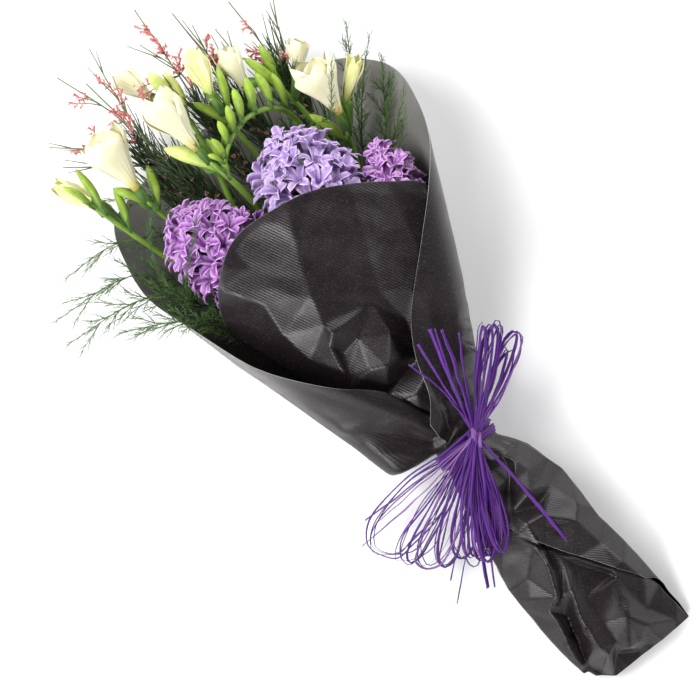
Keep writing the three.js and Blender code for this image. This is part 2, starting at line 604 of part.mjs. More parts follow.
brooms.forEach((plant, i) => {
  const slot = slotInRow("broom", plant.place, 2 * STEM_RADIUS.freesia + CLEARANCE);
  const chain = stemChain(slot, plant.path, 3, 6);
  const forks = plant.forks.map((points) => smoothChain(points, 4));
  const tops = [new Chain(chain.stations.slice(-6)), ...forks];
  const twigs = forks.map((fork) => stem(fork, STEM_RADIUS.broom * 0.75, 4));
  const needles = tops.flatMap((top, k) =>
    setAlong(top, { ...BROOM_NEEDLE, from: 0.1, to: 0.9, seed: 50 + 7 * i + k }));
  const florets = tops.flatMap((top, k) =>
    setAlong(top, { ...BROOM_FLORET, from: 0.4, to: 0.98, seed: 90 + 7 * i + k }));
  const body = fuse([stem(chain, STEM_RADIUS.broom, 4), ...twigs]);
  add(plant.name, "broom", fuse([body, ...keepClear([...needles, ...florets])]));
});

// Asparagus fern: thin arching stalks with needles all round, out over both sides of the paper
const ferns = [
  { name: "fern_1", path: [V(-40, 80, 16), V(-66, 125, 27), V(-82, 152, 48), V(-99, 170, 68),
      V(-134, 189, 54)] },
  { name: "fern_2", path: [V(-33, 80, 12), V(-64, 140, 20), V(-84, 172, 38), V(-107, 195, 53),
      V(-165, 204, 38)] },
  { name: "fern_3", path: [V(-16, 80, 10), V(-42, 145, 8), V(-78, 184, 14), V(-94, 201, 31),
      V(-108, 213, 46), V(-164, 221, 26)] },
  { name: "fern_4", path: [V(-9, 80, 9), V(-24, 150, 6), V(-64, 210, 12), V(-100, 234, 30),
      V(-141, 238, 20)] },
  { name: "fern_5", path: [V(-2, 80, 9), V(-9, 150, 6), V(-30, 215, 7), V(-58, 238, 11),
      V(-92, 262, 26)] },
  { name: "fern_6", path: [V(4, 80, 9), V(12, 150, 6), V(26, 215, 8), V(40, 240, 22),
      V(55, 268, 52)] },
  { name: "fern_7", path: [V(12, 80, 10), V(30, 140, 9), V(60, 190, 14), V(80, 225, 30),
      V(97, 252, 52)] },
  { name: "fern_8", path: [V(18, 80, 12), V(40, 130, 14), V(66, 172, 18), V(86, 200, 32),
      V(101, 222, 52)] },
];

const FERN_NEEDLE = { count: 14, length: 18, width: 1.1, lean: 0.6 };

ferns.forEach((plant, i) => {
  const chain = stemChain(slotInRow("fern", i - 3.5), plant.path, 2, 9);
  const top = new Chain(chain.stations.slice(-9));
  const needles = setAlong(top, { ...FERN_NEEDLE, from: 0.1, to: 0.99, seed: 200 + i });
  add(plant.name, "fern", fuse([stem(chain, STEM_RADIUS.fern, 4), ...keepClear(needles)]));
});

// The origin goes under the middle of the whole
const bounds = new THREE.Box3().setFromObject(bouquet);
const middle = bounds.getCenter(V(0, 0, 0));
for (const mesh of bouquet.children) mesh.geometry.translate(-middle.x, -middle.y, -bounds.min.z);

bouquet.updateMatrixWorld(true);
export default bouquet;
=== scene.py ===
"""A hand-tied bouquet of hyacinth, freesia, broom and asparagus fern, rolled in dark ribbed paper.

It lies on its back on a pale floor, with the camera straight above it. Pieces are shaped in millimetres,
measured from the tie with the blooms towards +Y, and moved into the row's frame in metres at the end.
"""

import logging
import math
import random
from dataclasses import dataclass
from enum import Enum
from functools import cache
from typing import Callable, NamedTuple, Sequence

import bmesh
import bpy
from mathutils import Matrix, Quaternion, Vector, geometry, noise


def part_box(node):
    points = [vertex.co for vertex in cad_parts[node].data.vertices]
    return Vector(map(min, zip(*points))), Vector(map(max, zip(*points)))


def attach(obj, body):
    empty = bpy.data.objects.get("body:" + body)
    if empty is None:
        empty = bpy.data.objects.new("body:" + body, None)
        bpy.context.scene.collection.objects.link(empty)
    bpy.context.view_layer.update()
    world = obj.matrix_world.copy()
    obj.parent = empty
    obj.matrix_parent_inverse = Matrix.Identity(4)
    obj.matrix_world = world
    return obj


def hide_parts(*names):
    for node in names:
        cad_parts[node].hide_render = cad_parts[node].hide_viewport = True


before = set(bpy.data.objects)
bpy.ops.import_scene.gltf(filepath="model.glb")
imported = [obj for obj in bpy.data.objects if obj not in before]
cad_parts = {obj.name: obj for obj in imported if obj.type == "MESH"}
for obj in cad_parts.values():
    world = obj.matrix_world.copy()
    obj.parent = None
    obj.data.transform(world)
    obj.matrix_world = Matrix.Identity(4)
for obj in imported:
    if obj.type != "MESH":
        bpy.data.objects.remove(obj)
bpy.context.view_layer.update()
LOG = logging.getLogger("bouquet")
noise.seed_set(5)  # otherwise noise_vector differs from one run to the next

MM = 0.001
UP = Vector((0.0, 0.0, 1.0))
GOLDEN_ANGLE = 2.39996
NECK_X, NECK_Z = -9.0, 29.6  # middle of the bouquet inside the tie, in millimetres
FLAT = "flat"  # name of the UV map that every piece carries
TINT = "tint"  # name of the attribute that tells one copy from the next
Point = tuple[float, float, float]
Surface = Callable[[float, float], Vector]  # gives a point for shares across and along
BMesh, Vert = bmesh.types.BMesh, bmesh.types.BMVert
Mesh, Piece = bpy.types.Mesh, bpy.types.Object
Stream = random.Random
Tree, Socket, Outputs = bpy.types.NodeTree, bpy.types.NodeSocket, bpy.types.bpy_prop_collection
Looks = tuple[object, object, Socket]  # colour, roughness and height
Colour = tuple[int, int, int]  # red, green and blue as seen, from 0 to 255
Tone = Colour | Socket


def tie_origin() -> Vector:
    """The place in the row's frame that all sizes here are measured from: on the surface, under the tie."""
    low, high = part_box("raffia_tie")
    middle = (Vector(low) + Vector(high)) / 2
    return middle - Vector((NECK_X, 0.0, NECK_Z)) * MM


ORIGIN = tie_origin()


def mix(low: float, high: float, share: float) -> float:
    """The number a share of the way from low to high."""
    return low + (high - low) * share


def smooth(value: float, low: float, high: float) -> float:
    """0 below low and 1 above high, with a soft change between them."""
    share = min(1.0, max(0.0, (value - low) / (high - low)))
    return share * share * (3 - 2 * share)


def within(value: float, low: float, high: float, fall: float, end: float) -> float:
    """A soft step up from low to high, and down again from fall to end."""
    return smooth(value, low, high) * (1 - smooth(value, fall, end))


class Route:
    """A smooth curve through points, read by the share of its length."""

    def __init__(self, points: Sequence[Point | Vector], steps: int = 24) -> None:
        """Samples the centripetal curve.

        Args:
            points: What it passes through, in millimetres.
            steps: How many samples lie between two points.
        """
        knots = [Vector(p) for p in points]
        ends = [2 * knots[0] - knots[1], *knots, 2 * knots[-1] - knots[-2]]
        self.samples: list[Vector] = [knots[0]]
        for a, b, c, d in zip(ends, ends[1:], ends[2:], ends[3:]):
            before, along, after = (max(1e-4, (q - p).length) ** 0.5 for p, q in ((a, b), (b, c), (c, d)))
            leave = ((b - a) / before - (c - a) / (before + along) + (c - b) / along) * along
            arrive = ((c - b) / along - (d - b) / (along + after) + (d - c) / after) * along
            second = 3 * (c - b) - 2 * leave - arrive
            third = 2 * (b - c) + leave + arrive
            for t in (step / steps for step in range(1, steps + 1)):
                self.samples.append(b + leave * t + second * t**2 + third * t**3)
        self.lengths = [0.0]
        for a, b in zip(self.samples, self.samples[1:]):
            self.lengths.append(self.lengths[-1] + (b - a).length)

    @property
    def length(self) -> float:
        """Its whole length."""
        return self.lengths[-1]

    def place(self, share: float) -> Vector:
        """The point at a share of the length."""
        want = min(1.0, max(0.0, share)) * self.length
        low, high = 0, len(self.lengths) - 1
        while high - low > 1:
            middle = (low + high) // 2
            low, high = (middle, high) if self.lengths[middle] <= want else (low, middle)
        gap = self.lengths[high] - self.lengths[low] or 1.0
        return self.samples[low].lerp(self.samples[high], (want - self.lengths[low]) / gap)

    def heading(self, share: float) -> Vector:
        """The direction of travel at a share of the length."""
        return (self.place(share + 0.01) - self.place(share - 0.01)).normalized()

    def frame(self, share: float) -> tuple[Vector, Vector, Vector, Vector]:
        """The point at a share of the length, and what is forward, sideways and up there."""
        forward = self.heading(share)
        return self.place(share), forward, *square_to(forward)


def square_to(direction: Vector, near: Vector = UP) -> tuple[Vector, Vector]:
    """Two directions square to one.

    Args:
        direction: The one, of unit length.
        near: What the second of the two leans towards.

    Returns:
        The sideways direction, and the one nearest to near.
    """
    side = direction.cross(near)
    if side.length < 1e-3:
        side = direction.cross(Vector((1.0, 0.0, 0.0)))
    side.normalize()
    return side, side.cross(direction).normalized()


def facing(direction: Vector, place: Vector, roll: float = 0.0, size: float = 1.0) -> Matrix:
    """What carries a pattern that grows along +Z to a place.

    Args:
        direction: What its +Z turns to.
        place: Where its origin goes.
        roll: Turn about its own axis, in radians.
        size: How much larger it gets.

    Returns:
        The matrix.
    """
    turn = Quaternion((0.0, 0.0, 1.0), roll)
    spin = direction.to_track_quat("Z", "Y") @ turn
    return Matrix.LocRotScale(place, spin, Vector((size, size, size)))


# Meshes


def new_mesh() -> BMesh:
    """An empty mesh with the UV map and the tint that every piece has."""
    bm = bmesh.new()
    bm.loops.layers.uv.new(FLAT)
    bm.verts.layers.float.new(TINT)
    return bm


def warped_grid(
    bm: BMesh, columns: int, rows: int, place: Surface, seam: bool = False, thickness: float = 0.0
) -> list[Vert]:
    """Adds a grid bent to a shape.

    Args:
        bm: The mesh it joins.
        columns: Squares across.
        rows: Squares along.
        place: Gives a point for shares across and along, each from 0 to 1.
        seam: Whether its two sides meet, so that it closes to a tube.
        thickness: What makes a body of it, or 0 for a bare surface.

    Returns:
        Its vertices.
    """
    known = set(bm.faces) if thickness else set()
    made = bmesh.ops.create_grid(bm, x_segments=columns, y_segments=rows, size=0.5, calc_uvs=True)["verts"]
    for vert in made:
        vert.co = place(vert.co.x + 0.5, vert.co.y + 0.5)
    if seam:
        bmesh.ops.remove_doubles(bm, verts=made, dist=1e-4)
        made = [vert for vert in made if vert.is_valid]
    if thickness:
        faces = [face for face in bm.faces if face not in known]
        shell = bmesh.ops.solidify(bm, geom=faces, thickness=thickness)["geom"]
        made = list({*made, *(part for part in shell if isinstance(part, Vert))})
    return made


def tube(
    bm: BMesh, route: Route, rows: Sequence[tuple[float, float]], sides: int, squash: float = 1.0
) -> None:
    """Adds a round body along a curve.

    Args:
        bm: The mesh it joins.
        route: Its middle line.
        rows: Its radius at shares of the way, each as (share, radius). A radius of 0 closes an end.
        sides: How many sides it has.
        squash: Its height as a share of its width.
    """
    frames = []
    near = UP
    for share, radius in rows:
        heading = route.heading(share)
        side, near = square_to(heading, near)
        frames.append((route.place(share), side * radius, near * radius * squash))

    def place(u: float, v: float) -> Vector:
        """A point of the tube's skin."""
        middle, side, lift = frames[round(v * (len(rows) - 1))]
        return middle + side * math.cos(u * math.tau) + lift * math.sin(u * math.tau)

    warped_grid(bm, sides, len(rows) - 1, place, seam=True)


def set_tint(bm: BMesh, verts: Sequence[Vert], value: float) -> None:
    """Gives vertices one tint."""
    layer = bm.verts.layers.float[TINT]
    for vert in verts:
        vert[layer] = value


@dataclass(frozen=True)
class PetalShape:
    """The shape of a petal or bract that grows from the origin along +Z and leans towards +X."""

    length: float
    width: float
    foot: float = 0.4  # width at its foot, as a share
    widest: float = 0.55  # how far along it is widest
    blunt: float = 2.0  # how blunt its tip is
    start: float = 20.0  # lean at its foot, in degrees from +Z
    end: float = 110.0  # lean at its tip
    bend: float = 1.4  # how late it bends
    hook: float = 0.0  # how far its last quarter turns back, in degrees
    cup: float = 0.25  # how far its sides rise, as a share of its width
    ripple: float = 0.0  # height of the waves along its sides
    columns: int = 4
    rows: int = 6
    thickness: float = 0.35

    def half_width(self, v: float) -> float:
        """Half of its width at a share of its length."""
        if v < self.widest:
            return self.width / 2 * mix(self.foot, 1.0, smooth(v, 0, self.widest))
        past = (v - self.widest) / (1 - self.widest)
        return self.width / 2 * math.sqrt(max(0.0, 1 - past**self.blunt))

    def add_to(self, bm: BMesh, matrix: Matrix, seed: float = 0.0) -> None:
        """Adds one, closed and with thickness.

        Args:
            bm: The mesh it joins.
            matrix: Where it goes.
            seed: Sets its ripples apart from another's.
        """
        steps = 24
        spine = [(0.0, 0.0, math.radians(self.start))]
        for k in range(steps):
            x, z, _ = spine[-1]
            t = (k + 1) / steps
            lean = math.radians(mix(self.start, self.end, t**self.bend) - self.hook * smooth(t, 0.66, 1.0))
            x, z = x + math.sin(lean) * self.length / steps, z + math.cos(lean) * self.length / steps
            spine.append((x, z, lean))

        def place(u: float, v: float) -> Vector:
            """A point of the petal's middle surface."""
            x, z, lean = spine[round(v * steps)]
            across = 2 * u - 1
            half = self.half_width(v)
            rise = self.cup * self.width * across**2 * min(1.0, 2 * half / self.width)
            rise += self.ripple * math.sin(9 * v + seed + 2 * across) * abs(across)
            return Vector((x - math.cos(lean) * rise, across * half, z + math.sin(lean) * rise))

        verts = warped_grid(bm, self.columns, self.rows, place, True, self.thickness)
        bmesh.ops.transform(bm, matrix=matrix, verts=verts)

    def part(self, matrix: Matrix, seed: float = 0.0) -> BMesh:
        """One as a mesh of its own."""
        part = new_mesh()
        self.add_to(part, matrix, seed)
        return part


def as_mesh(name: str, bm: BMesh) -> Mesh:
    """Makes a mesh of a bmesh, which is freed."""
    mesh = bpy.data.meshes.new(name)
    bm.to_mesh(mesh)
    bm.free()
    return mesh


def pattern(name: str, bm: BMesh) -> Mesh:
    """Keeps a small mesh for copying."""
    bmesh.ops.recalc_face_normals(bm, faces=bm.faces)
    return as_mesh(name, bm)


def add_copy(bm: BMesh, mesh: Mesh, matrix: Matrix, tint: float) -> None:
    """Adds a turned copy of a pattern.

    Args:
        bm: The mesh it joins.
        mesh: The pattern.
        matrix: Where the copy goes.
        tint: What sets its colour apart from other copies', from 0 to 1.
    """
    copy = mesh.copy()
    copy.transform(matrix)
    values = copy.attributes[TINT].data
    values.foreach_set("value", [tint] * len(values))
    bm.from_mesh(copy)
    bpy.data.meshes.remove(copy)


def strew(
    bm: BMesh, patterns: Sequence[Mesh], stream: Stream, direction: Vector, place: Vector, size: float
) -> None:
    """Adds a copy of one of some patterns, which one and how it is rolled being left to chance."""
    matrix = facing(direction.normalized(), place, stream.uniform(0, math.tau), size)
    add_copy(bm, stream.choice(patterns), matrix, stream.random())


def in_scene(name: str, data: bpy.types.ID) -> Piece:
    """A new object in the scene."""
    thing = bpy.data.objects.new(name, data)
    bpy.context.scene.collection.objects.link(thing)
    return thing


def make_piece(
    name: str, bm: BMesh, finishes: Sequence["Finish"], nodes: Sequence[str], recalculate: bool = True
) -> Piece:
    """Turns a mesh in millimetres into a finished piece in the row's frame.

    Args:
        name: The piece's name.
        bm: Its mesh, which is freed.
        finishes: What its faces wear, in the order of their material numbers.
        nodes: CAD nodes that it stands for.
        recalculate: Whether its faces are turned outwards first.

    Returns:
        The piece.
    """
    if recalculate:
        bmesh.ops.recalc_face_normals(bm, faces=bm.faces)
    bmesh.ops.transform(bm, matrix=Matrix.Translation(ORIGIN) @ Matrix.Scale(MM, 4), verts=bm.verts)
    for face in bm.faces:
        face.smooth = True
    mesh = as_mesh(name, bm)
    piece = in_scene(name, mesh)
    for finish in finishes:
        mesh.materials.append(finish.material())
    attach(piece, "root")
    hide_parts(*nodes)
    LOG.info("%s: %d faces", name, len(mesh.polygons))
    return piece


# Finishes


def linear(tone: Tone) -> object:
    """A colour in the form that shaders take; one that a node gives already has it."""
    if isinstance(tone, Socket):
        return tone
    return (*(((c / 255 + 0.055) / 1.055) ** 2.4 if c > 10 else c / 3294.6 for c in tone), 1.0)


class Graph:
    """A short way to place nodes in a tree and join them."""

    def __init__(self, tree: Tree) -> None:
        """Takes hold of a tree."""
        self.tree = tree

    def add(self, kind: str, inputs: dict | None = None, **settings: object) -> bpy.types.Node:
        """Places a node.

        Args:
            kind: Its type, without the prefix of shader nodes.
            inputs: Values or sockets for its inputs, by name or number.
            settings: Its own properties.

        Returns:
            The node.
        """
        node = self.tree.nodes.new(kind if kind.startswith("Node") else f"ShaderNode{kind}")
        for name, value in settings.items():
            setattr(node, name, value)
        for name, value in (inputs or {}).items():
            self.feed(node.inputs[name], value)
        return node

    def feed(self, socket: Socket, value: object) -> None:
        """Links another node's output to a socket, or sets its value."""
        if isinstance(value, Socket):
            self.tree.links.new(value, socket)
        else:
            socket.default_value = value

    def maths(self, operation: str, *values: object) -> Socket:
        """The result of a sum on one, two or three numbers."""
        return self.add("Math", dict(enumerate(values)), operation=operation).outputs[0]

    def times(self, first: object, second: object) -> Socket:
        """The product of two numbers."""
        return self.maths("MULTIPLY", first, second)

    def scaled(self, value: object, factor: float, offset: float) -> Socket:
        """A number times a factor, plus an offset."""
        return self.maths("MULTIPLY_ADD", value, factor, offset)

    def ramp(self, value: object, low: float, high: float) -> Socket:
        """A soft mask that goes from 0 at low to 1 at high."""
        inputs = {"Value": value, "From Min": low, "From Max": high}
        return self.add("MapRange", inputs, interpolation_type="SMOOTHSTEP", clamp=True).outputs[0]

    def blend(self, share: object, low: Tone, high: Tone) -> Socket:
        """A colour mixed from two."""
        return self.add("Mix", {0: share, 6: linear(low), 7: linear(high)}, data_type="RGBA").outputs[2]

    def noise(self, place: Socket, scale: object, detail: float, roughness: float = 0.5) -> Socket:
        """Soft noise about 0.5."""
        inputs = {"Vector": place, "Scale": scale, "Detail": detail, "Roughness": roughness}
        return self.add("TexNoise", inputs).outputs["Fac"]

    def parts(self, vector: Socket) -> list[Socket]:
        """The x, y and z of a vector."""
        return list(self.add("SeparateXYZ", {0: vector}).outputs)

    def effect(self, build: Callable[[], Tree], **inputs: object) -> Outputs:
        """The outputs of a shared effect."""
        return self.add("Group", inputs, node_tree=build()).outputs


class Effect(Graph):
    """A node group that several finishes share."""

    def __init__(self, name: str, inputs: dict[str, float | None], outputs: Sequence[str]) -> None:
        """Starts the group.

        Args:
            name: The effect's name.
            inputs: Default value of each input, where None is a vector.
            outputs: Names of its outputs, which are numbers.
        """
        super().__init__(bpy.data.node_groups.new(name, "ShaderNodeTree"))
        for label, value in inputs.items():
            kind = "NodeSocketVector" if value is None else "NodeSocketFloat"
            socket = self.tree.interface.new_socket(label, in_out="INPUT", socket_type=kind)
            if value is not None:
                socket.default_value = value
        for label in outputs:
            self.tree.interface.new_socket(label, in_out="OUTPUT", socket_type="NodeSocketFloat")
        self.given = self.add("NodeGroupInput").outputs
        self.out = self.add("NodeGroupOutput").inputs

    def give(self, **values: Socket) -> Tree:
        """Feeds the outputs, and hands over the group."""
        for name, value in values.items():
            self.feed(self.out[name], value)
        return self.tree


@cache
def grain() -> Tree:
    """Fine uneven grain: Tone wanders about 0.5 over the surface, and Height is for a bump."""
    group = Effect("grain", {"Vector": None, "Scale": 300.0}, ("Tone", "Height"))
    place, scale = group.given["Vector"], group.given["Scale"]
    coarse = group.noise(place, scale, 3.0)
    fine = group.noise(place, group.times(scale, 5.0), 2.0)
    return group.give(Tone=coarse, Height=group.maths("ADD", coarse, group.times(fine, 0.4)))


@cache
def streaks() -> Tree:
    """Streaks along v of the UV map: Count is how many lie side by side, Run how often they change."""
    group = Effect("streaks", {"Vector": None, "Count": 12.0, "Run": 2.0, "Shift": 0.0}, ("Tone", "Height"))
    across, along, _ = group.parts(group.given["Vector"])
    count, run, shift = (group.given[name] for name in ("Count", "Run", "Shift"))
    moved = {0: group.times(across, count), 1: group.times(along, run), 2: group.times(shift, 37.0)}
    threads = group.noise(group.add("CombineXYZ", moved).outputs[0], 1.0, 3.0, 0.6)
    return group.give(Tone=group.ramp(threads, 0.3, 0.7), Height=threads)


@cache
def veins() -> Tree:
    """A petal's pattern from its UV map: its rib, its margin, how far along, and the height of its veins."""
    group = Effect("veins", {"Vector": None, "Count": 9.0}, ("Rib", "Margin", "Along", "Height"))
    u, along, _ = group.parts(group.given["Vector"])
    across = group.maths("ABSOLUTE", group.scaled(u, 2.0, -1.0))
    wander = group.noise(group.given["Vector"], 6.0, 2.0)
    spread = group.maths("ADD", across, group.scaled(wander, 0.5, -0.25))
    lines = group.maths("SINE", group.times(across, group.times(group.given["Count"], math.pi)))
    return group.give(
        Rib=group.maths("SUBTRACT", 1.0, group.ramp(spread, 0.05, 0.55)),
        Margin=group.ramp(spread, 0.25, 1.1),
        Along=along,
        Height=group.times(lines, group.ramp(along, 1.0, 0.2)),
    )


@cache
def ribbing() -> Tree:
    """Straight pressed ribs that run along v of a UV map in metres, Pitch metres apart, with a mask of their
    grooves for painted shade.
    """
    group = Effect("ribbing", {"Vector": None, "Pitch": 0.0016}, ("Groove", "Height"))
    turns = group.maths("DIVIDE", group.parts(group.given["Vector"])[0], group.given["Pitch"])
    wave = group.maths("SINE", group.times(turns, math.tau))
    return group.give(Groove=group.ramp(wave, 0.1, -1.0), Height=wave)


@dataclass(frozen=True)
class Finish:
    """What a kind of surface looks like; each subclass says how its colour is worked out."""

    name: str
    slot: str
    roughness: float = 0.5
    bump: float = 0.1  # depth of its relief, in millimetres
    subsurface: float = 0.0

    @cache
    def material(self) -> bpy.types.Material:
        """The material, built on its first use."""
        made = bpy.data.materials.new(f"finish_{self.name}")
        made.use_nodes = True
        made.node_tree.nodes.clear()
        graph = Graph(made.node_tree)
        colour, roughness, height = self.looks(graph)
        relief = graph.add("Bump", {"Strength": 1.0, "Distance": self.bump * MM, "Height": height})
        inputs = {
            "Base Color": colour, "Roughness": roughness, "Specular IOR Level": 0.4,
            "Normal": relief.outputs[0], "Subsurface Weight": self.subsurface,
            "Subsurface Radius": (1.0, 0.8, 0.9), "Subsurface Scale": 0.0015,
        }
        graph.add("OutputMaterial", {"Surface": graph.add("BsdfPrincipled", inputs).outputs[0]})
        return made

    def looks(self, graph: Graph) -> Looks:
        """Colour, roughness and height of the surface."""
        raise NotImplementedError

    def uv(self, graph: Graph) -> Socket:
        """The piece's own UV map."""
        return graph.add("UVMap", uv_map=FLAT).outputs[0]

    def mark(self, graph: Graph, name: str = TINT) -> Socket:
        """An attribute of the mesh, the copy's own tint unless another is named."""
        return graph.add("Attribute", attribute_name=name, attribute_type="GEOMETRY").outputs["Fac"]

    def grain(self, graph: Graph, scale: float) -> Outputs:
        """Fine grain, in the object's own space."""
        return graph.effect(grain, Vector=graph.add("TexCoord").outputs["Object"], Scale=scale)


@dataclass(frozen=True, kw_only=True)
class PetalFinish(Finish):
    """A petal: throat, body and tip along it, a rib down its middle and a pale margin."""

    throat: Colour
    body: Colour
    rib: Colour
    margin: Colour
    reach: float = 0.3  # how far up the throat's colour shows
    lines: float = 5.0
    rib_share: float = 0.6
    margin_share: float = 0.6

    def looks(self, graph: Graph) -> Looks:
        """Colour, roughness and height of the petal."""
        vein = graph.effect(veins, Vector=self.uv(graph), Count=self.lines)
        speck = self.grain(graph, 220.0)
        darker = graph.blend(graph.times(self.mark(graph), 0.5), self.body, self.rib)
        ribbed = graph.blend(graph.times(vein["Rib"], self.rib_share), darker, self.rib)
        edged = graph.blend(graph.times(vein["Margin"], self.margin_share), ribbed, self.margin)
        near = graph.maths("SUBTRACT", 1.0, graph.ramp(vein["Along"], 0.0, self.reach))
        colour = graph.blend(near, edged, self.throat)
        mottled = graph.blend(graph.ramp(speck["Tone"], 0.45, 0.8), colour, self.margin)
        height = graph.maths("ADD", vein["Height"], graph.times(speck["Height"], 0.4))
        roughness = graph.scaled(speck["Tone"], 0.2, self.roughness - 0.1)
        return graph.blend(0.35, colour, mottled), roughness, height


@dataclass(frozen=True, kw_only=True)
class LeafFinish(Finish):
    """A leaf, bract, bud or stem: one green at its foot and another at its tip, with fine streaks."""

    foot: Colour
    tip: Colour
    fleck: Colour
    streaks: float = 14.0
    flecks: float = 0.35

    def looks(self, graph: Graph) -> Looks:
        """Colour, roughness and height of the leaf."""
        uv, tint = self.uv(graph), self.mark(graph)
        streak = graph.effect(streaks, Vector=uv, Count=self.streaks, Shift=tint)
        speck = self.grain(graph, 160.0)
        wander = graph.maths("ADD", graph.parts(uv)[1], graph.times(tint, 0.35))
        base = graph.blend(graph.ramp(wander, 0.15, 1.1), self.foot, self.tip)
        marked = graph.blend(graph.times(streak["Tone"], self.flecks), base, self.fleck)
        shaded = graph.blend(graph.ramp(speck["Tone"], 0.62, 0.35), marked, self.foot)
        height = graph.maths("ADD", streak["Height"], graph.times(speck["Height"], 0.5))
        roughness = graph.scaled(streak["Tone"], 0.15, self.roughness - 0.07)
        return graph.blend(0.4, marked, shaded), roughness, height


@dataclass(frozen=True, kw_only=True)
class RaffiaFinish(Finish):
    """Dyed raffia: long fibres in two tones, with some strands that took little dye."""

    deep: Colour
    bright: Colour
    bare: Colour

    def looks(self, graph: Graph) -> Looks:
        """Colour, roughness and height of the strand."""
        tint = self.mark(graph)
        fibre = graph.effect(streaks, Vector=self.uv(graph), Count=9.0, Run=3.0, Shift=tint)
        dyed = graph.blend(fibre["Tone"], self.deep, self.bright)
        shade = graph.blend(graph.ramp(tint, 0.0, 0.8), self.deep, dyed)
        uneven = graph.blend(0.65, shade, dyed)
        faded = graph.times(graph.ramp(tint, 0.86, 0.95), graph.ramp(fibre["Tone"], 0.1, 0.8))
        colour = graph.blend(faded, uneven, self.bare)
        return colour, graph.scaled(fibre["Tone"], 0.2, self.roughness - 0.1), fibre["Height"]


@dataclass(frozen=True, kw_only=True)
class PaperFinish(Finish):
    """Dark kraft paper with pressed ribs, painted shade in their grooves, a worn pale edge, pale fibre flecks
    and a painted sheen: a paler grey standing in for light falling inside the cone.
    """

    ground: Colour
    groove_shade: Colour
    edge: Colour
    fleck_and_sheen: Colour

    def looks(self, graph: Graph) -> Looks:
        """Colour, roughness and height of the paper."""
        rib = graph.effect(ribbing, Vector=self.uv(graph))
        mottle, fibre = self.grain(graph, 90.0), self.grain(graph, 900.0)
        # painted shade: the grooves between the ribs are darkened, as if shade fell in them
        ribbed = graph.blend(graph.times(rib["Groove"], 0.6), self.ground, self.groove_shade)
        # pale fibre flecks at random, in the same pale grey that the painted sheen uses
        mottled = graph.blend(graph.ramp(fibre["Tone"], 0.5, 0.75), ribbed, self.fleck_and_sheen)
        # painted sheen: a per-vertex mark turns the paper paler grey inside the cone near its rim, standing
        # in for light falling there
        sheened = graph.blend(self.mark(graph, "fleck_and_sheen"), graph.blend(0.07, ribbed, mottled), self.fleck_and_sheen)
        colour = graph.blend(self.mark(graph, "edge"), sheened, self.edge)
        height = graph.maths("ADD", rib["Height"], graph.times(fibre["Height"], 0.5))
        return colour, graph.scaled(mottle["Tone"], 0.3, self.roughness - 0.15), height


# Its palest grey gives fibre flecks and the painted sheen, a paler grey standing in for light inside the
# cone.
PAPER = PaperFinish(
    "ribbed_kraft_paper", "kraft_paper", roughness=0.37, bump=0.025,
    # the grooves' colour is painted shade
    ground=(27, 20, 22), groove_shade=(20, 15, 17), edge=(186, 190, 186), fleck_and_sheen=(150, 148, 144),
)
RAFFIA = RaffiaFinish(
    "violet_raffia", "raffia", bump=0.12,
    deep=(38, 5, 64), bright=(98, 27, 150), bare=(172, 130, 176),
)
LAVENDER = PetalFinish(
    "lavender_petal", "lavender_petal", subsurface=0.2, margin_share=0.7, reach=0.2,
    throat=(126, 126, 174), body=(184, 155, 208), rib=(152, 115, 190), margin=(222, 206, 236),
)
VIOLET = PetalFinish(
    "violet_petal", "violet_petal", roughness=0.45, subsurface=0.15, rib_share=0.8, margin_share=0.85,
    reach=0.2, throat=(120, 122, 156), body=(164, 102, 180), rib=(134, 54, 154), margin=(208, 176, 218),
)
MAUVE = PetalFinish(
    "mauve_petal", "mauve_petal", roughness=0.45, subsurface=0.15, rib_share=0.75, margin_share=0.8,
    reach=0.16, throat=(160, 130, 190), body=(202, 132, 216), rib=(160, 76, 186), margin=(238, 210, 243),
)
CREAM = PetalFinish(
    "cream_petal", "cream_petal", roughness=0.42, bump=0.12, subsurface=0.3, lines=7.0, rib_share=0.3,
    margin_share=0.5,
    throat=(208, 190, 92), body=(232, 227, 192), rib=(220, 213, 160), margin=(237, 233, 208),
)
YELLOW_BUD = PetalFinish(
    "opening_bud", "cream_petal", roughness=0.42, bump=0.12, subsurface=0.25, lines=6.0, rib_share=0.5,
    margin_share=0.35, reach=0.5,
    throat=(190, 202, 92), body=(232, 230, 160), rib=(208, 214, 116), margin=(246, 244, 208),
)
LIME_BUD = LeafFinish(
    "lime_bud", "freesia_stem", roughness=0.4, bump=0.12, subsurface=0.15,
    foot=(146, 178, 62), tip=(224, 230, 142), fleck=(236, 238, 176),
)
BUD_GREEN = LeafFinish(
    "bud_green", "freesia_stem", roughness=0.38, bump=0.12, subsurface=0.06,
    foot=(88, 126, 34), tip=(152, 182, 62), fleck=(178, 198, 92),
)
BRACT_GREEN = LeafFinish(
    "bract_green", "freesia_stem", roughness=0.45, bump=0.14, subsurface=0.08,
    foot=(52, 86, 30), tip=(84, 120, 40), fleck=(116, 148, 66),
)
STEM_GREEN = LeafFinish(
    "stem_green", "freesia_stem", roughness=0.38, subsurface=0.08, streaks=8.0,
    foot=(82, 118, 32), tip=(96, 134, 38), fleck=(152, 178, 86),
)
THICK_STEM = LeafFinish(
    "thick_stem", "hyacinth_stem", roughness=0.36, subsurface=0.1,
    foot=(110, 150, 70), tip=(86, 110, 84), fleck=(150, 180, 110),
)
TWIG = LeafFinish(
    "broom_twig", "broom_twig", roughness=0.6, bump=0.2, streaks=10.0,
    foot=(70, 84, 56), tip=(104, 120, 86), fleck=(136, 144, 112), flecks=0.5,
)
DARK_NEEDLE = LeafFinish(
    "broom_needle", "broom_twig", roughness=0.55, streaks=6.0,
    foot=(34, 52, 32), tip=(58, 82, 46), fleck=(88, 108, 68),
)
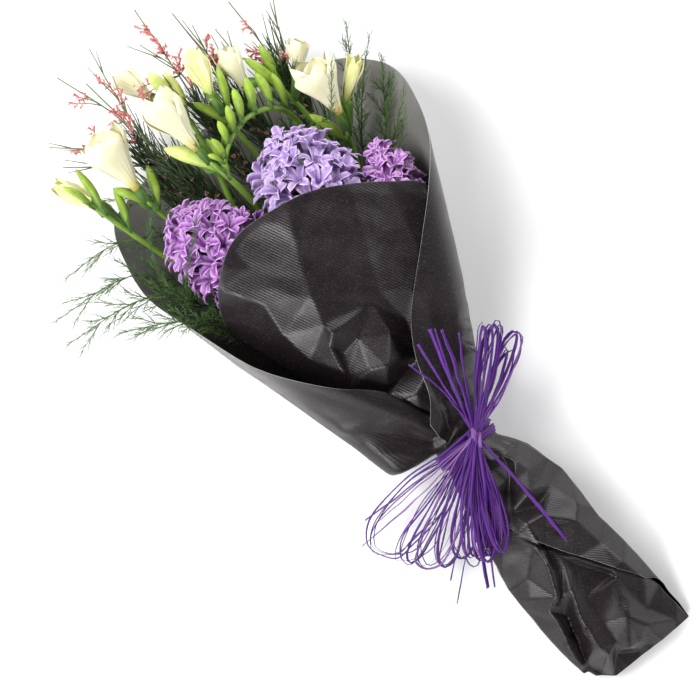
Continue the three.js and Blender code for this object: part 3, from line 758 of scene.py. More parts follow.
CORAL = PetalFinish(
    "coral_floret", "broom_twig", bump=0.08, subsurface=0.1, reach=0.45,
    throat=(176, 44, 52), body=(222, 104, 104), rib=(206, 62, 66), margin=(244, 190, 186),
)
DUSKY = PetalFinish(
    "dusky_floret", "broom_twig", roughness=0.55, bump=0.08, reach=0.6,
    throat=(120, 52, 48), body=(176, 118, 108), rib=(140, 70, 66), margin=(214, 180, 170),
)
FERN = LeafFinish(
    "fern_needle", "fern_leaf", roughness=0.55, bump=0.1, streaks=5.0,
    foot=(34, 62, 26), tip=(80, 118, 50), fleck=(114, 146, 80),
)


# The paper


Fold = tuple[Point, ...]  # a pressed line: places seen from above, each with its lift off the bare shape


class Facets:
    """Paper folded into flat faces between fold lines."""

    depth = 1.35  # what the lifts are multiplied by

    def __init__(self, folds: Sequence[Fold], bare: Sequence[Vector]) -> None:
        """Works out the faces.

        Args:
            folds: The fold lines.
            bare: Points spread over the bare shape, which give the heights that the lifts start from.
        """
        places: list[Vector] = []
        heights: list[float] = []
        lines: list[tuple[int, int]] = []
        for fold in folds:
            numbers = []
            for x, y, lift in fold:
                near = min(bare, key=lambda point: (point.x - x) ** 2 + (point.y - y) ** 2)
                place = Vector((x, y))
                if place not in places:
                    places.append(place)
                    heights.append(near.z + lift * self.depth)
                numbers.append(places.index(place))
            lines += list(zip(numbers, numbers[1:]))
        found = geometry.delaunay_2d_cdt(places, lines, [], 0, 1e-4)
        known = {k: heights[first[0]] for k, first in enumerate(found[3]) if first}
        joined = {k: [b if a == k else a for a, b in found[1] if k in (a, b)] for k in range(len(found[0]))}
        corners = []
        for k, place in enumerate(found[0]):
            near = [known[other] for other in joined[k] if other in known]
            height = known[k] if k in known else sum(near) / max(1, len(near))
            corners.append(Vector((*place, height)))
        self.faces = [tuple(corners[k] for k in face) for face in found[2]]

    def height(self, x: float, y: float) -> float | None:
        """The height at a place, or None beside the folded part."""
        for a, b, c in self.faces:
            whole = (b.x - a.x) * (c.y - a.y) - (c.x - a.x) * (b.y - a.y)
            if abs(whole) < 1e-6:
                continue
            first = ((x - a.x) * (c.y - a.y) - (c.x - a.x) * (y - a.y)) / whole
            second = ((b.x - a.x) * (y - a.y) - (x - a.x) * (b.y - a.y)) / whole
            if first >= -1e-6 and second >= -1e-6 and first + second <= 1 + 1e-6:
                return a.z + first * (b.z - a.z) + second * (c.z - a.z)
        return None


def crumpled(x: float, y: float, size: float, seed: float) -> float:
    """Height, from -1 to 1, of paper folded into flat triangles.

    Args:
        x: Place across.
        y: Place along.
        size: How large the triangles are.
        seed: Sets one crumple apart from another.

    Returns:
        The height.
    """
    drift = noise.noise_vector(Vector((x, y, seed * 5.0)) / (size * 1.7)) * 0.55
    u = x / size + 0.45 * y / size + drift.x
    v = y / size * 0.8 + drift.y
    i, j = math.floor(u), math.floor(v)
    a, b = u - i, v - j

    def post(k: int, m: int) -> float:
        """The height of a lattice corner."""
        return 2 * noise.cell(Vector((k * 3.7 + 0.5, m * 5.3 + 0.5, seed * 7.1 + 0.5))) - 1

    if a + b < 1:
        return post(i, j) * (1 - a - b) + post(i + 1, j) * a + post(i, j + 1) * b
    return post(i + 1, j + 1) * (a + b - 1) + post(i + 1, j) * (1 - b) + post(i, j + 1) * (1 - a)


class TailSection(NamedTuple):
    """A section of the roll below the tie."""

    y: float
    x: float
    half_width: float
    half_height: float
    z: float
    seam: float  # angle of the outer layer's edge, in degrees from +X

    def towards(self, other: "TailSection", y: float) -> "TailSection":
        """The section at y, between this one and another."""
        share = (y - self.y) / (other.y - self.y)
        return TailSection(y, *(mix(a, b, share) for a, b in zip(self[1:], other[1:])))


@dataclass
class Sheet:
    """What the two sheets of paper have in common."""

    columns: int = 150
    rows: int = 120
    thickness: float = 0.3
    floor: float = 0.35  # how low the middle of the paper may come
    worn: float = 0.5  # how pale its edges are
    folded: Facets | None = None

    def place(self, u: float, v: float) -> Vector:
        """A point of the middle surface."""
        raise NotImplementedError

    def flat(self, u: float, v: float) -> tuple[float, float]:
        """The same place on the sheet laid flat, in metres."""
        raise NotImplementedError

    def fleck_and_sheen(self, u: float, v: float) -> float:
        """How much painted sheen the paper has, from 0 to 1: a paler grey standing in for light."""
        return 0.0

    def dress(self, name: str) -> Piece:
        """Builds the sheet as a piece that stands for the CAD node of that name."""
        bm = new_mesh()
        edge = bm.verts.layers.float.new("edge")
        # weight of the painted sheen, a paler grey standing in for light inside the cone
        sheen_layer = bm.verts.layers.float.new("fleck_and_sheen")
        shares: dict[Vert, tuple[float, float]] = {}

        def snug(share: float, count: int) -> float:
            """Moves the lines next to an edge close to it, so that its worn margin is narrow."""
            if 0.5 < share * count < 1.5:
                return share * 0.2
            if 0.5 < (1 - share) * count < 1.5:
                return 1 - (1 - share) * 0.2
            return share

        made = bmesh.ops.create_grid(bm, x_segments=self.columns, y_segments=self.rows, size=0.5)["verts"]
        for vert in made:
            u, v = snug(vert.co.x + 0.5, self.columns), snug(vert.co.y + 0.5, self.rows)
            shares[vert] = (u, v)
            vert.co = self.place(u, v)
            vert.co.z = max(vert.co.z, self.floor)
            vert[edge] = self.worn if vert.is_boundary else 0.0
            vert[sheen_layer] = self.fleck_and_sheen(u, v)
        uv = bm.loops.layers.uv[FLAT]
        for face in bm.faces:
            for loop in face.loops:
                loop[uv].uv = self.flat(*shares[loop.vert])
        piece = make_piece(f"{name}_paper", bm, [PAPER], [name], recalculate=False)
        wall = piece.modifiers.new("thickness", "SOLIDIFY")
        wall.thickness = self.thickness * MM
        wall.offset = 0.0
        return piece


WRAP_FOLDS: tuple[Fold, ...] = (
    # places where the bare shape is kept: above the folded part, and down its two sides and foot
    ((20, -18, 0), (4, -18, 0), (-9, -18, 0), (-22, -18, 0), (-38, -18, 0)),
    ((20, -18, 0), (25, -28, 0), (30, -38, 0), (33, -50, 0), (34, -70, 0), (33, -88, 0), (35, -105, 0),
     (36, -120, 0), (37, -135, 0), (39, -142, 0), (37, -155, 0), (36, -172, 0), (30, -182, 0)),
    ((-38, -18, 0), (-42, -34, 0), (-44, -50, 0), (-48, -70, 0), (-51, -90, 0), (-51, -106, 0),
     (-50, -120, 0), (-48, -135, 0), (-48, -150, 0), (-46, -160, 0), (-42, -172, 0), (-34, -182, 0)),
    ((30, -182, 0), (12, -182, 0), (0, -182, 0), (-14, -182, 0), (-34, -182, 0)),
    # the smooth outer layer at the right, with soft dents below the tie
    ((4, -22, -2.5), (9, -27, 2.5), (-1, -34, -3), (4, -22, -2.5)),
    ((9, -27, 2.5), (11, -36, 1), (12, -45, -1.5), (16, -53, -1.5), (33, -50, 0)),
    ((16, -53, -1.5), (22, -72, 1), (33, -88, 0)),
    ((1, -36, 3.5), (3, -47, 1.5), (1.5, -57, -2), (1, -64, 2.6), (-3.5, -72, -1)),
    ((-3.5, -72, -1), (15, -79, 1.5), (22, -72, 1)),
    ((-7, -40, -4), (-1, -34, -3)),
    ((-18, -34, 3), (-14, -50, -2), (-10, -62, 1.5), (-3.5, -72, -1)),
    ((-24, -44, 2), (-25, -55, 1), (-20, -63, 1.5), (-12.4, -79, 1.5), (0, -97, 2), (13.5, -118, 2.5)),
    ((13.5, -118, 2.5), (25, -135, 4), (39, -142, 0)),
    ((15, -79, 1.5), (18, -100, 1.5), (22, -118, 1.5), (25, -135, 4)),
    # its folded corner at the foot
    ((13.5, -118, 2.5), (14, -133, -1), (15, -152, -3.5), (26, -170, 1.5)),
    ((15, -152, -3.5), (39, -142, 0)),
    ((15, -152, -3.5), (9, -159, 4.5), (1, -170, 1), (0, -182, 0)),
    ((9, -159, 4.5), (26, -170, 1.5)),
    # the under layer: a sharp ridge, a deep valley down to the foot, and the broad faces beside them
    ((-15, -76, 2.5), (-16, -89, 7.5), (-24, -110, 5)),
    ((-11, -80, -0.5), (-12.5, -99, 0), (-22, -112, 0)),
    ((-36, -69, 1), (-31, -90, -2.5), (-24, -110, 5)),
    ((-24, -110, 5), (-33, -114, 1), (-38, -100, 1.8)),
    ((-6, -93, 1), (-14, -111, 3.5), (-22, -132, 3.5), (-24, -150, 3), (-23, -158, 1)),
    ((-22, -112, 0), (-27, -124, -7), (-31, -138, -7.5), (-36, -156, -5), (-33, -168, -2)),
    ((-34, -124, 2), (-37, -140, 2.5), (-39, -154, 1.5)),
    ((-2, -100, -1), (-11, -122, -2), (12, -121, -3)),
    ((12, -124, 1), (3, -148, 3), (-1, -166, 1)),
    ((-11, -122, -2), (-12, -140, -1), (-13, -156, 0.5)),
    # the foot, tucked in twice
    ((-21, -159, 5), (-33, -168, -2)),
    ((-21, -159, 5), (-27, -173, 2)),
    ((-13, -156, 0.5), (-17, -162, -3), (-8, -164, 4), (-6, -170, -1)),
)
# y, x, half width, half height, z and seam of each section
TAIL = [TailSection(*row) for row in (
    (7, -9, 18, 13.2, 29.6, 125), (-7, -9, 18, 13.2, 29.6, 125), (-24, -6, 25, 18.5, 24, 124),
    (-50, -5, 31, 20, 21, 122), (-88, -9.5, 34, 20.5, 20, 82), (-120, -7.5, 36, 19, 18.5, 52),
    (-136, -6.4, 36, 17, 16, 32), (-142, -6, 36, 16.2, 15.2, 6), (-150, -5.5, 36, 15, 14, -6),
    (-168, -3.5, 35.5, 9, 9, -8), (-178, -1.5, 34, 4, 5.2, -8),
)]
WRAP_RIM = Route(
    (
        (-19, 24, 62), (-8, 38, 68), (0, 61, 74), (13, 83, 80), (44, 113, 93), (71, 139, 98),
        (88, 159, 93), (98.5, 181, 78), (103, 201, 59), (101.5, 215, 40), (96, 225, 24), (83, 238, 10),
        (55, 250, -4), (10, 257, -14), (-40, 258, -14), (-75, 254, -2), (-96, 246, 14),
        (-105, 222, 30), (-107, 194, 46), (-96, 158, 66), (-78, 114, 77), (-53, 81, 73),
        (-28, 57, 59), (-20, 37, 49), (-18, 27, 45),
    )
)


@dataclass
class BigSheet(Sheet):
    """The big sheet: a roll round the stems that opens into a cone above the tie."""

    columns: int = 200
    rows: int = 225
    neck_half: float = 7.0  # half the length of the neck, inside the tie
    tail_length: float = 178.0
    roll_turn: float = 410.0  # how far the roll goes round, in degrees
    roll_step: float = 1.5  # from one layer of the roll to the next
    slack: float = 2.2  # how much further apart the layers are halfway down the tail
    gathers: int = 6  # how many pairs of gathers go once round
    gather: float = 1.7  # depth of the gathers below the tie
    near_dents: float = 2.4  # depth of the dents above the tie,
    wall_dents: float = 0.5  # of the broad dents further up the cone
    tail_dents: float = 0.22  # and of the small ones in the tail
    girths: tuple[float, float] = (125, 200)  # width of the flat sheet at the tie, and further down
    apex: float = 46  # from the point of the flat cone to its neck
    turns: tuple[float, float] = (54, 209)  # directions of the flat cone's two edges, in degrees
    levels: tuple[tuple[float, float], ...] = (
        # share of the rows and the level there, which is y, and above the neck neck_half plus percents
        # of the way up the cone
        (0.0, -178), (0.08, -160), (0.5, -24), (0.57, -7), (0.6, 7), (0.68, 27), (0.79, 57), (1.0, 107),
    )

    def section(self, y: float) -> TailSection:
        """The roll's section at y."""
        for upper, lower in zip(TAIL, TAIL[1:]):
            if y >= lower.y:
                return upper.towards(lower, min(y, upper.y))
        return TAIL[-1]

    def roll(self, u: float, y: float) -> Vector:
        """A point of the roll at a share u of the sheet's width."""
        section = self.section(y)
        angle = math.radians(section.seam - u * self.roll_turn)
        parting = 1 + self.slack * math.sin(math.pi * min(1.0, max(0.0, -y / self.tail_length)))
        out = self.roll_step * parting * (1 - u)
        near_tie = within(-y, 6, 18, 25, 75)
        out += near_tie * self.gather * (abs(math.sin(self.gathers * angle + 0.9 * math.sin(y / 13))) - 0.4)
        x = section.x + (section.half_width + out) * math.cos(angle)
        z = section.z + (section.half_height + out) * math.sin(angle)
        lean = (x - section.x) / section.half_width
        rise = smooth(-y, 158, 174) * (4 + 25 * max(0.0, -lean - 0.72))
        return Vector((x, y + rise, z))

    def cone(self, u: float, s: float) -> Vector:
        """A point of the cone at a share s of the way from the tie to the rim."""
        low = self.roll(u, self.neck_half)
        high = WRAP_RIM.place(u)
        seams = 0.25 * smooth(u, 0, 0.1) + 0.5 * smooth(u, 0.78, 0.88)
        straightness = 0.6 + seams - 0.25 * smooth(u, 0.2, 0.6)
        swell = s**straightness if s > 0 else 0.0
        left = within(u, 0.5, 0.68, 0.78, 0.9)
        shoulder = 0.36 * (1 - (1 - min(1.0, s / 0.06)) ** 4)
        spread = mix(swell, shoulder + 0.64 * s, left)
        return Vector((mix(low.x, high.x, spread), mix(low.y, high.y, s), mix(low.z, high.z, swell)))

    def level(self, v: float) -> float:
        """The level of the row at a share v."""
        for (low, start), (high, end) in zip(self.levels, self.levels[1:]):
            if v <= high:
                return mix(start, end, (v - low) / (high - low))
        return self.levels[-1][1]

    def facets(self) -> Facets:
        """The folded upper side of the roll."""
        bare = []
        for y in (mix(-16, -self.tail_length, row / 69) for row in range(70)):
            around = (self.roll(k / 60, y) for k in range(60))
            bare += [point for point in around if point.z >= self.section(y).z - 1]
        return Facets(WRAP_FOLDS, bare)

    def place(self, u: float, v: float) -> Vector:
        """A point of the creased sheet."""
        level = self.level(v)
        if level >= self.neck_half:
            point = self.cone(u, (level - self.neck_half) / 100)
            out = (point - Vector((NECK_X - level * 0.1, point.y, 30))).normalized()
            near_tie = within(level, 8, 16, 26, 55) * smooth(out.z, 0.1, 0.5)
            dent = self.near_dents * near_tie * crumpled(point.x, point.y, 12, 4)
            dent += self.wall_dents * smooth(level, 12, 30) * crumpled(point.x, point.y, 34, 8)
            return point + out * dent
        point = self.roll(u, level)
        section = self.section(level)
        out = (point - Vector((section.x, level, section.z))).normalized()
        upper = smooth(point.z, section.z - 1, section.z + 4) * smooth(-level, 16, 24)
        wanted = self.folded.height(point.x, point.y) if upper else None
        if wanted is not None:
            parting = 1 + 3.4 * math.sin(math.pi * min(1.0, -level / self.tail_length))
            point.z = mix(point.z, wanted + self.roll_step * parting * (1 - u) - self.roll_step, upper)
        dent = crumpled(point.x + 0.6 * point.z, point.y, 13, 2)
        return point + out * smooth(-level, 10, 28) * self.tail_dents * dent

    def flat(self, u: float, v: float) -> tuple[float, float]:
        """The same place on the sheet laid flat, in metres."""
        level = self.level(v)
        if level < self.neck_half:
            arc = (u - 0.5) * mix(*self.girths, smooth(-level, 10, 60))
            return (0.95 * arc + 0.3 * level) * MM, (0.95 * level - 0.3 * arc) * MM
        wall = (WRAP_RIM.place(u) - self.roll(u, self.neck_half)).length
        slant = self.apex + wall * (level - self.neck_half) / 100
        turn = math.radians(mix(*self.turns, u))
        return slant * math.sin(turn) * MM, slant * math.cos(turn) * MM

    def fleck_and_sheen(self, u: float, v: float) -> float:
        """The paper's painted sheen: a paler grey standing in for light inside the cone near its rim, most of
        all at the right.
        """
        level = self.level(v)
        right = 0.95 * smooth(level, 36, 92) * within(u, 0.2, 0.34, 0.5, 0.66)
        left = 0.4 * smooth(level, 40, 95) * within(u, 0.52, 0.64, 0.8, 0.86)
        return right + left

    def build(self) -> Piece:
        """Makes the piece."""
        self.folded = self.facets()
        piece = self.dress("wrap_outer")
        return piece


FAN_FOLDS: tuple[Fold, ...] = (
    # round its outline the bare shape is kept
    ((-30, 24, 0), (-22, 24, 0), (-9, 24, 0), (4, 24, 0), (14, 24, 0), (24, 34, 0)),
    ((24, 34, 0), (38, 58, 0), (52, 82, 0), (60, 100, 0), (68, 128, 0), (69, 144, 0), (54, 156, 0),
     (34, 170, 0), (12, 181, 0)),
    ((12, 181, 0), (-3, 185, 1), (-20, 187.5, -1), (-37, 188, -1.5), (-47, 185, -2), (-58, 178, 0),
     (-68, 170, 0), (-77, 156, 0), (-79, 143, 0), (-73, 126, 0)),
    ((-73, 126, 0), (-66, 105, 0), (-54, 76, 0), (-42, 48, 0), (-30, 24, 0)),
    # the two long folds of its left part, with the bright face between them
    ((-37, 188, -1.5), (-45, 168, 0), (-52.5, 146, 1.5), (-55, 124, 2), (-52, 102, 3), (-43, 73, 4),
     (-36, 50, 2)),
    ((-3, 185, 1), (-16.8, 156, 3.5), (-26, 132, 5), (-31.5, 113, 6)),
    ((-52.5, 146, 1.5), (-77, 156, 0)),
    ((-52.5, 146, 1.5), (-66, 130, -2), (-73, 126, 0)),
    # the nick under the second fold
    ((-31.5, 113, 6), (-30, 106, 8.5), (-36.5, 100, 7), (-39.7, 84, 8), (-43, 73, 4)),
    ((-30, 106, 8.5), (-34, 92, 1), (-38, 80, 3.5)),
    # the tent, lit from the blooms' side, and the dark faces below it
    ((-1.6, 106, 0.5), (-20, 94, 2.5), (-38, 80, 3.5)),
    ((-1.6, 106, 0.5), (-3, 84, 4), (-8, 67, 8)),
    ((-38, 80, 3.5), (-27, 74, 10), (-17, 69, 12), (-8, 67, 8), (3, 62, -2)),
    ((-17, 69, 12), (-27, 56, 0), (-36, 50, 2)),
    ((-27, 56, 0), (-6, 60, -4), (3, 62, -2)),
    ((-27, 56, 0), (-14, 44, 5.5), (2, 50, 3.5), (-6, 60, -4)),
    ((8, 108, 0), (10, 84, -2.5), (3, 62, -2)),
    ((8, 108, 0), (-1.6, 106, 0.5)),
    ((10, 84, -2.5), (24, 96, 1), (40, 100, 1)),
    ((3, 62, -2), (18, 60, 1.5), (30, 60, 0)),
)
FAN_RIM = Route(
    (
        (64, 112, 66), (69, 129, 79), (70, 143, 88), (55, 156, 92), (35, 170, 95), (12, 182, 97),
        (-11, 187, 97), (-34, 189, 95), (-46, 186.5, 93.5), (-57, 180, 90), (-68, 171, 82),
        (-78, 155.4, 64), (-80, 142, 50), (-74, 126, 40),
    )
)


@dataclass
class FanSheet(Sheet):
    """The small sheet: a fan in front of the stems, caught by the tie at its foot."""

    worn: float = 0.16
    neck: tuple[float, float] = (16.725, 11.925)  # its half width and half height inside the tie
    neck_top: float = 7.0  # y of the tie's upper edge
    ends: tuple[float, float] = (-10, 107)  # levels of its foot and its rim, counted as in BigSheet
    turns: tuple[float, float] = (172, 15)  # directions of its two edges from the neck, in degrees
    dents: float = 0.35

    def bare(self, u: float, v: float) -> Vector:
        """A point of the fan before it was creased."""
        angle = math.radians(mix(*self.turns, u))
        wide, high = self.neck
        level = mix(*self.ends, v)
        y = min(level, self.neck_top)
        foot = Vector((NECK_X + wide * math.cos(angle), y, NECK_Z + high * math.sin(angle)))
        if level <= self.neck_top:
            return foot
        rim = FAN_RIM.place(1 - u)
        s = (level - self.neck_top) / 100
        return Vector((mix(foot.x, rim.x, s**0.9), mix(foot.y, rim.y, s), mix(foot.z, rim.z, s**1.4)))

    def place(self, u: float, v: float) -> Vector:
        """A point of the creased fan."""
        point = self.bare(u, v)
        level = mix(*self.ends, v)
        if level > 14:
            wanted = self.folded.height(point.x, point.y)
            if wanted is not None:
                point.z = mix(point.z, wanted, smooth(level, 14, 26))
            point.z += self.dents * smooth(level, 14, 30) * crumpled(point.x, point.y, 16, 6)
        return point

    def facets(self) -> Facets:
        """The folded part of the fan."""
        bare = [self.bare(k / 60, mix(0.15, 1, row / 60)) for k in range(61) for row in range(61)]
        return Facets(FAN_FOLDS, bare)

    def flat(self, u: float, v: float) -> tuple[float, float]:
        """The same place on the sheet laid flat, in metres, turned to its ribs."""
        point = self.bare(u, v)
        return (point.x * 0.9 + point.y * 0.44) * MM, (point.y * 0.9 - point.x * 0.44) * MM

    def build(self) -> Piece:
        """Makes the piece."""
        self.folded = self.facets()
        piece = self.dress("wrap_inner")
        return piece


# The raffia


@dataclass(frozen=True)
class Strand:
    """One flat strand of raffia along a curve."""

    points: Sequence[Point | Vector]
    width: float = 2.4
    tint: float = 0.5
    twist: float = 0.0  # turns about its own length, in radians
    fold: float = 0.35  # how deeply it is folded along its middle, as a share of its width
    thickness: float = 0.22

    def add_to(self, bm: BMesh, seed: float) -> None:
        """Adds it to a mesh, closed and with thickness."""
        route = Route(self.points, steps=10)
        rows = max(8, int(route.length / 3.2))
        frames = []
        near = UP
        for k in range(rows + 1):
            share = k / rows
            heading = route.heading(share)
            _, near = square_to(heading, near)
            turn = Quaternion(heading, self.twist * share + 0.35 * math.sin(5 * share + seed))
            lift = turn @ near
            wander = Vector([noise.noise(Vector((share * 6, seed, axis * 9.1))) for axis in range(3)])
            middle = route.place(share) + wander * 1.1 * math.sin(math.pi * share)
            width = self.width * (0.82 + 0.3 * noise.noise(Vector((share * 9, seed * 1.7, 4.0))))
            frames.append((middle, heading.cross(lift).normalized(), lift, width))

        def place(u: float, v: float) -> Vector:
            """A point of the strand's middle surface."""
            middle, side, lift, width = frames[round(v * rows)]
            across = 2 * u - 1
            return middle + side * across * width / 2 - lift * self.fold * width * across**2 / 2

        set_tint(bm, warped_grid(bm, 3, rows, place, thickness=self.thickness), self.tint)


# share of the way, part of the sway and part of the rise at each point of a loop
LOOP = (
    (-0.06, 0.02, 0.0), (0.2, 0.3, 0.55), (0.5, 0.75, 1.0), (0.85, 0.8, 0.5), (0.97, 0.45, 0.2),
    (1.0, 0.0, 0.0), (0.94, -0.5, 0.1), (0.8, -0.8, 0.5), (0.5, -0.75, 0.9), (0.2, -0.3, 0.5),
    (-0.06, 0.0, 0.0),
)


@dataclass
class Raffia:
    """The band round the neck, the knot, and the bow of loops and loose ends."""

    knot: Point = (-1, 1.5, 51)
    seed: int = 5
    girth: tuple[float, float] = (20.2, 15.4)  # half width and half height of the band
    wrap: float = 5.2  # radius of the short wrap over the knot
    # far end, how far the runs part, how high they arch, and how many strands share the loop
    loops: tuple[tuple[Point, float, float, int], ...] = (
        ((51, 47, 74), 6, 6, 6), ((57, 36, 68), 6, 3, 4), ((46, 52, 80), 4, 9, 4), ((48, 30, 66), 5, 5, 4),
        ((-94, -16, 18), 24, 16, 4), ((-86, -34, 14), 10, 19, 4), ((-76, -44, 15), 12, 20, 4),
        ((-66, -50, 16), 10, 22, 3), ((-58, -56, 22), 9, 18, 3), ((-50, -61, 30), 8, 16, 5),
        ((-41, -66, 42), 8, 9, 7), ((-33, -65, 48), 6, 6, 7),
    )
    # tip, rise, width and tint of each loose end
    ends: tuple[tuple[Point, float, float, float], ...] = (
        ((17, 71, 86), 4, 3.4, 0.5), ((23, 66, 87), 5, 2.6, 0.6), ((20, 69, 87), 5, 1.6, 0.3),
        ((6, 68, 82), 4, 2.4, 0.4), ((-6, 62, 78), 6, 1.4, 0.55), ((30, 58, 84), 3, 1.6, 0.7),
        ((3, -94, 45), 3, 2.6, 0.5), ((-54, -80, 18), 14, 4.2, 0.6), ((-51, -82, 19), 14, 1.6, 0.3),
        ((-70, -62, 12), 18, 1.3, 0.75), ((-88, 2, 24), 16, 1.4, 0.9), ((-84, -4, 22), 18, 1.0, 0.9),
        ((-100, -10, 16), 22, 1.2, 0.92), ((-76, -76, 10), 18, 1.0, 0.6),
    )

    def band(self) -> Piece:
        """The band: strands wound round the neck, side by side and crossing a little."""
        bm = new_mesh()
        stream = Stream(self.seed)
        wide, high = self.girth
        for turn in range(8):
            start = -4.4 + turn * 1.15
            slant = stream.uniform(-1.0, 1.0)
            out = 0.5 + 0.9 * (turn % 3) / 2
            points = []
            for k in range(25):
                angle = math.tau * k / 24 + 1.4
                x, z = NECK_X + (wide + out) * math.cos(angle), NECK_Z + (high + out) * math.sin(angle)
                points.append((x, start + slant * math.cos(angle) + 0.9 * slant * k / 24, z))
            Strand(points, 2.6, stream.uniform(0.2, 0.8), fold=0.12).add_to(bm, turn * 3.3)
        return make_piece("raffia_band", bm, [RAFFIA], ["raffia_tie"])

    def loop(self, far: Point, sway: float, rise: float, stream: Stream) -> list[Vector]:
        """The points of a loop.

        Args:
            far: Its furthest point.
            sway: How far its two runs part.
            rise: How high they arch.
            stream: Where its small differences come from.

        Returns:
            Points from the knot round the far end and back.
        """
        start = Vector(self.knot)
        tip = Vector(far) + Vector([stream.uniform(-3.0, 3.0) for _ in range(3)])
        run = tip - start
        across = run.cross(UP).normalized()
        sway *= stream.uniform(0.6, 1.15)
        rise *= stream.uniform(0.75, 1.15)
        points = []
        for share, side, up in LOOP:
            bend = stream.uniform(-0.16, 0.16)
            point = start + run * share + across * (side + bend) * sway + UP * up * rise
            point.z = max(point.z, 1.5)
            points.append(point)
        return points

    def bow(self) -> Piece:
        """The loops, the loose ends, and the short wrap over the knot."""
        bm = new_mesh()
        stream = Stream(self.seed)
        number = 0
        for far, sway, rise, count in self.loops:
            for _ in range(count):
                number += 1
                width = stream.choice((0.8, 1.0, 1.3, 1.7, 2.4))
                tint = 0.9 if number % 9 == 0 else stream.uniform(0.1, 0.82)
                points = self.loop(far, sway, rise, stream)
                Strand(points, width, tint, stream.uniform(-1.2, 1.2)).add_to(bm, number)
        start = Vector(self.knot)
        for tip, rise, width, tint in self.ends:
            number += 1
            end = Vector(tip)
            side = (end - start).cross(UP).normalized()
            bow = stream.uniform(-4.0, 4.0)
            points = [start - (end - start) * 0.04]
            for share in (0.3, 0.62):
                aside = side * bow * math.sin(math.pi * share)
                points.append(start.lerp(end, share) + aside + UP * rise * 1.1 * (1 - share))
            Strand([*points, end], width, tint, stream.uniform(-0.8, 0.8)).add_to(bm, number)
        for turn in range(4):
            points = []
            for angle in (math.tau * k / 12 + 0.7 for k in range(13)):
                x, y = -1 + 6.2 * math.cos(angle) * 0.55, -2.6 + turn * 2.2 + self.wrap * math.cos(angle)
                points.append((x, y, 50.5 + self.wrap * math.sin(angle)))
            Strand(points, 3.0, 0.55 if turn == 1 else 0.9, fold=0.1).add_to(bm, 40.0 + turn)
        return make_piece("raffia_loops", bm, [RAFFIA], ["raffia_bow"])

    def build(self) -> list[Piece]:
        """Makes both pieces."""
        return [self.band(), self.bow()]


# Flowers and leaves


class Kind(Enum):
    """The kinds of stem, with the radius of each in millimetres."""

    HYACINTH = 4.2
    FREESIA = 1.7
    BROOM = 1.3
    FERN = 1.1


@dataclass(frozen=True)
class Bundle:
    """Where the stems pass through the tie, in rows one under the other."""

    cut: float = -146.0  # y of the cut ends
    gap: float = 0.4
    top: float = 0.35  # height of the freesia row's upper side over the middle

    def slot(self, kind: Kind, place: float) -> tuple[float, float]:
        """A stem's place in its row, from the neck's middle.

        Args:
            kind: What kind of stem.
            place: How many stems from the middle.

        Returns:
            The place across and up.
        """
        tops = {Kind.FREESIA: self.top}
        tops[Kind.BROOM] = tops[Kind.FREESIA] - 2 * Kind.FREESIA.value - self.gap
        tops[Kind.FERN] = tops[Kind.BROOM] - 2 * Kind.BROOM.value - self.gap
        pitch = 2 * (Kind.FREESIA if kind is Kind.BROOM else kind).value + self.gap
        return place * pitch, tops[kind] - kind.value

    def route(self, slot: tuple[float, float], path: Sequence[Point]) -> Route:
        """A stem's way from its cut end through the tie to the end of a path."""
        x, z = slot
        foot = (NECK_X + x * 1.25, self.cut + x * 0.4, 14 + z * 1.15)
        tie = [(NECK_X + x, y, NECK_Z + z) for y in (-14.0, 14.0)]
        return Route([foot, *tie, *path], steps=12)


BUNDLE = Bundle()


def join(bm: BMesh, part: BMesh, paint: int = 0, tint: float = 0.5) -> None:
    """Adds a part to a piece's mesh and frees it.

    Args:
        bm: The piece's mesh.
        part: The part's own mesh.
        paint: Which of the piece's finishes it wears.
        tint: What sets its colour apart from other parts', from 0 to 1.
    """
    bmesh.ops.recalc_face_normals(part, faces=part.faces)
    for face in part.faces:
        face.material_index = paint
    set_tint(part, part.verts, tint)
    mesh = as_mesh("part", part)
    bm.from_mesh(mesh)
    bpy.data.meshes.remove(mesh)


def stalk(route: Route, thick: float, thin: float, rows: int, sides: int = 6) -> BMesh:
    """A tapered stem with flat closed ends, as a mesh of its own."""
    part = new_mesh()
    taper = ((k / rows, mix(thick, thin, k / rows)) for k in range(rows + 1))
    tube(part, route, [(0.0, 0.0), *taper, (1.0, 0.0)], sides)
    return part


def plump(route: Route, width: float, late: float = 1.15, rows: int = 8, sides: int = 8) -> BMesh:
    """A bud, thickest past its middle, as a mesh of its own.

    Args:
        route: Its middle line.
        width: Its greatest width.
        late: How late it is thickest.
        rows: Rings along it.
        sides: Sides round it.

    Returns:
        The mesh.
    """
    part = new_mesh()
    swell = ((t, width / 2 * math.sin(math.pi * t**late) ** 0.6) for t in (k / rows for k in range(1, rows)))
    tube(part, route, [(0.0, 0.0), *swell, (1.0, 0.0)], sides, 0.9)
    return part


def bowed(start: Vector, end: Vector, bow: Vector = Vector()) -> Route:
    """A short curve between two points that bows out by a vector."""
    return Route([start, start.lerp(end, 0.5) + bow, end], steps=8)


